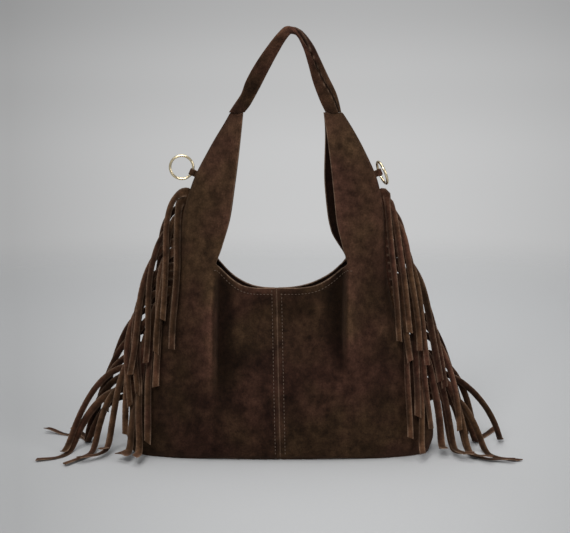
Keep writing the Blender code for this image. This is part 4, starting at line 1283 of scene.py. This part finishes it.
def suede_material(name, lift, wear_and_highlight_share=0.6):
    make = new_material(name)
    dark, middle, warm = (tuple(part * share for part, share in zip(colour, lift))
                          for colour in (SUEDE_DARK, SUEDE_MIDDLE, SUEDE_WARM))
    patches = make.ramp(make.noise(9.0, 3.0, 0.5, distortion=0.6), 0.35, 0.68)
    blotches = make.ramp(make.noise(36.0, 5.0, 0.62), 0.34, 0.70)
    brushed = make.ramp(make.noise(1.0, 4.0, 0.6, make.stretched((120.0, 120.0, 46.0))), 0.36, 0.68)
    fibres = make.ramp(make.noise(520.0, 3.0, 0.6), 0.25, 0.75)
    spots = make.ramp(make.noise(95.0, 5.0, 0.66), 0.30, 0.72)
    hue = make.ramp(make.noise(13.0, 2.0, 0.5), 0.40, 0.62)
    wear_and_highlight, shaded, cut = make.tone()
    colour = make.mix_colour(patches, dark, middle)
    # The painted tone: wear and a painted highlight pull towards the warm colour, painted shade towards the
    # dark
    for amount, share, layer in ((blotches, 0.42, warm), (brushed, 0.30, dark), (wear_and_highlight, wear_and_highlight_share, warm),
                                 (shaded, 0.92, dark)):
        colour = make.mix_colour(make.math("MULTIPLY", amount, share), colour, layer)
    tint = make.mix_colour(hue, (1.0, 0.86, 0.93), (0.92, 0.99, 0.80))
    colour = make.mix_colour(0.85, colour, tint, "MULTIPLY")
    colour = make.mix_colour(cut, colour, CUT_EDGE)
    grain = make.math("MULTIPLY_ADD", fibres, 0.7, 0.65)
    patchy = make.math("MULTIPLY_ADD", spots, 1.15, 0.52)
    nap = make.bump(make.noise(900.0, 3.0, 0.7), 0.35, 0.0004)
    pebble = make.bump(make.noise(230.0, 4.0, 0.6), 0.30, 0.0007, nap)
    return make.shade({
        "Base Color": make.scaled(colour, make.math("MULTIPLY", grain, patchy)),
        "Roughness": make.math("MULTIPLY_ADD", blotches, 0.08, 0.86),
        "Specular IOR Level": 0.05,
        "Sheen Weight": 0.10,
        "Sheen Roughness": 0.45,
        "Sheen Tint": (0.70, 0.44, 0.30),
        "Normal": make.bump(brushed, 0.25, 0.0006, pebble),
    })


body_suede = suede_material("body_suede_nap", (1.20, 1.16, 1.10))
strap_suede = suede_material("strap_suede_nap", (1.42, 1.32, 1.25), wear_and_highlight_share=0.8)
fringe_suede = suede_material("fringe_suede_nap", (1.46, 1.30, 1.20))
wear(suede_pieces, body_suede)
wear([strap] + tabs, strap_suede)
wear(fringes, fringe_suede)
print("suede finishes:", body_suede.name, strap_suede.name, fringe_suede.name)


# %% Thread material
def thread_material():
    make = new_material("tan_thread")
    strands = make.noise(700.0, 3.0, 0.6)
    return make.shade({
        "Base Color": make.mix_colour(strands, (0.060, 0.038, 0.024), (0.125, 0.082, 0.054)),
        "Roughness": 0.75,
    })


wear(threads, thread_material())
print("rows in thread finish:", len(threads))

# %% [markdown]
# ## Cloth and metal
# The lining is black woven cloth, so two crossed waves make its weave. The rings are brass with a pale
# gold plate, worn a little duller in patches, and the snap is plated steel with the fine circles that
# pressing and polishing leave.

# %% Lining, gold and snap materials
def lining_material():
    make = new_material("black_lining_weave")
    over, under = (make.fill(make.add("ShaderNodeTexWave", wave_type="BANDS", bands_direction=way),
                             {"Scale": 420.0, "Vector": make.place()}).outputs["Fac"] for way in "XZ")
    weave = make.math("MULTIPLY", over, under)
    slubs = make.noise(60.0, 4.0, 0.6)
    colour = make.mix_colour(weave, (0.004, 0.004, 0.0045), (0.012, 0.0115, 0.0115))
    return make.shade({
        "Base Color": make.mix_colour(make.math("MULTIPLY", slubs, 0.4), colour, (0.016, 0.0145, 0.014)),
        "Roughness": make.ramp(slubs, -1.0, 2.0, 0.6, 0.95),
        "Specular IOR Level": 0.2,
        "Normal": make.bump(weave, 0.5, 0.0003),
    })


def metal_material(name, colour, dull, roughness, brushed):
    make = new_material(name)
    wear_spots = make.ramp(make.noise(180.0, 4.0, 0.6), 0.45, 0.75)
    marks = make.noise(1.0, 3.0, 0.6, make.stretched(brushed))
    return make.shade({
        "Base Color": make.mix_colour(wear_spots, colour, dull),
        "Roughness": make.ramp(marks, 0.2, 0.8, roughness * 0.7, roughness * 1.6),
        "Metallic": 1.0,
        "Normal": make.bump(marks, 0.08, 0.0001),
    })


lining_cloth = lining_material()
pale_gold = metal_material("pale_gold_plate", (0.84, 0.71, 0.47), (0.62, 0.50, 0.32), 0.16,
                           (900.0, 900.0, 120.0))
snap_metal = metal_material("plated_snap", (0.60, 0.58, 0.55), (0.42, 0.40, 0.37), 0.28,
                            (1500.0, 60.0, 1500.0))
wear([pouch], lining_cloth)
wear(gold_rings, pale_gold)
for node in ("snap_socket", "snap_stud"):
    for material_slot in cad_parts[node].material_slots:
        material_slot.material = snap_metal
print("metal finishes:", pale_gold.name, snap_metal.name)

# %% [markdown]
# ## Floor, light and camera
# The bag stands on a disc of pale paper that thins out into the air, so no edge of it is seen. It is
# painted paler towards the back and darker to the sides, a painted falloff of light. A large
# soft lamp hangs in front and above, a weaker one fills from the right, and a third one lights the top.
# The world lights everything evenly, but it shows the eye a painted pool of light behind the bag. The
# camera looks at the front from a little above, far enough away to keep the outline free of distortion.


# %% Floor
FLOOR_RADIUS = 4.0
FLOOR_FADE = (0.8, 2.0)
FLOOR_SIDES = 64


def floor_material():
    """Pale paper with a painted falloff of light, paler towards the back and darker towards the sides, that
    thins out into the air around it.
    """
    make = new_material("pale_studio_paper")
    place = make.place()
    x, y, _ = make.parts(place)
    # A painted falloff of light: paler towards the back, darker towards the sides
    tone = make.ramp(y, -0.30, 1.30, 0.47, 0.68)
    depth = make.math("MAXIMUM", make.math("ADD", y, 1.6), 1.0)
    sideways = make.math("SUBTRACT", make.math("DIVIDE", x, depth), 0.05)
    fade = make.math("MULTIPLY_ADD", make.math("MULTIPLY", sideways, sideways), -3.9, 1.0)
    fade = make.math("MAXIMUM", fade, 0.74)
    paper = make.math("MULTIPLY_ADD", make.noise(260.0, 3.0, 0.6), 0.05, 0.975)
    shade = make.math("MULTIPLY", make.math("MULTIPLY", fade, paper), tone)
    away = make.fill(make.add("ShaderNodeVectorMath", operation="LENGTH"), {0: place}).outputs["Value"]
    return make.shade({
        "Base Color": make.scaled((1.0, 1.004, 1.008), shade),
        "Roughness": 0.9,
        "Specular IOR Level": 0.1,
        "Alpha": make.ramp(away, *FLOOR_FADE, 1.0, 0.0, "SMOOTHERSTEP"),
    })


def make_floor():
    points, faces = [(0.0, 0.0, 0.0)], []
    for k in range(FLOOR_SIDES):
        a = 2 * math.pi * k / FLOOR_SIDES
        points.append((FLOOR_RADIUS * math.cos(a), FLOOR_RADIUS * math.sin(a), 0.0))
        faces.append((0, 1 + k, 1 + (k + 1) % FLOOR_SIDES))
    piece = add_piece("studio_floor", points, faces)
    piece.data.materials.append(floor_material())
    return piece


floor = make_floor()
print("stage:", floor.name)


# %% Lights
def soft_lamp(name, place, aim, width, height, power):
    data = bpy.data.lights.new(name, "AREA")
    data.shape = "RECTANGLE"
    data.size, data.size_y = width, height
    data.energy = power
    lamp = bpy.data.objects.new(name, data)
    lamp.location = place
    lamp.rotation_euler = (Vector(aim) - Vector(place)).to_track_quat("-Z", "Y").to_euler()
    bpy.context.scene.collection.objects.link(lamp)
    return lamp


lamps = [
    soft_lamp("key_front_above", (-0.5, -1.9, 1.9), (0.0, 0.0, 0.2), 1.4, 1.0, 42.0),
    soft_lamp("fill_right", (1.9, -1.2, 0.9), (0.0, 0.0, 0.2), 1.0, 1.2, 14.0),
    soft_lamp("top", (0.0, 0.2, 2.2), (0.0, 0.0, 0.0), 1.6, 1.4, 16.0),
]
print("lamps:", len(lamps))

# %% World
BACKDROP = ((0.0, 0.52), (0.20, 0.54), (0.31, 0.575), (0.42, 0.575), (0.54, 0.52), (0.67, 0.43), (1.0, 0.36))


def paint_world(world):
    """Even light for the bag, and for the eye a painted pool of light, darker upwards and to the sides."""
    make = Nodes(world)
    x, _, z = make.parts(make.place("Generated"))
    ramp = make.add("ShaderNodeValToRGB")
    make.feed(make.math("MULTIPLY", make.math("ADD", z, 0.30), 2.0), ramp.inputs["Fac"])
    ramp.color_ramp.interpolation = "EASE"
    while len(ramp.color_ramp.elements) < len(BACKDROP):
        ramp.color_ramp.elements.new(0.5)
    for element, (place, value) in zip(ramp.color_ramp.elements, BACKDROP):
        element.position = place
        element.color = (value, value * 1.004, value * 1.008, 1.0)
    aside = make.math("SUBTRACT", x, 0.04)
    squared = make.math("MULTIPLY", aside, aside)
    fade = make.math("MAXIMUM", make.math("MULTIPLY_ADD", squared, -4.9, 1.0), 0.70)
    seen = make.fill(make.add("ShaderNodeBackground"), {"Color": ramp.outputs["Color"], "Strength": fade})
    light = make.fill(make.tree.nodes["Background"], {"Color": (0.80, 0.82, 0.84), "Strength": 0.45})
    ray = make.add("ShaderNodeLightPath").outputs
    by_eye = make.math("MAXIMUM", ray["Is Camera Ray"], ray["Is Transmission Ray"])
    both = make.fill(make.add("ShaderNodeMixShader"), {
        "Fac": by_eye, 1: light.outputs["Background"], 2: seen.outputs["Background"]})
    make.fill(make.tree.nodes["World Output"], {"Surface": both.outputs["Shader"]})


world = bpy.data.worlds.new("studio_air")
bpy.context.scene.world = world
paint_world(world)
print("tones in the backdrop:", len(BACKDROP))

# %% Camera
PHOTO_WIDTH = 0.7085
CAMERA_DISTANCE = 1.6
CAMERA_TILT = 10.0
AIM = Vector((0.0056, 0.0, 0.2346))

camera_data = bpy.data.cameras.new("photo_camera")
camera_data.sensor_width = 36.0
camera_data.lens = 36.0 * CAMERA_DISTANCE / PHOTO_WIDTH
camera = bpy.data.objects.new("photo_camera", camera_data)
tilt = math.radians(CAMERA_TILT)
camera.location = AIM + Vector((0.0, -math.cos(tilt), math.sin(tilt))) * CAMERA_DISTANCE
camera.rotation_euler = (AIM - camera.location).to_track_quat("-Z", "Y").to_euler()
bpy.context.scene.collection.objects.link(camera)
bpy.context.scene.camera = camera
bpy.context.scene.view_settings.view_transform = "Standard"
print("lens in mm:", round(camera_data.lens, 1))
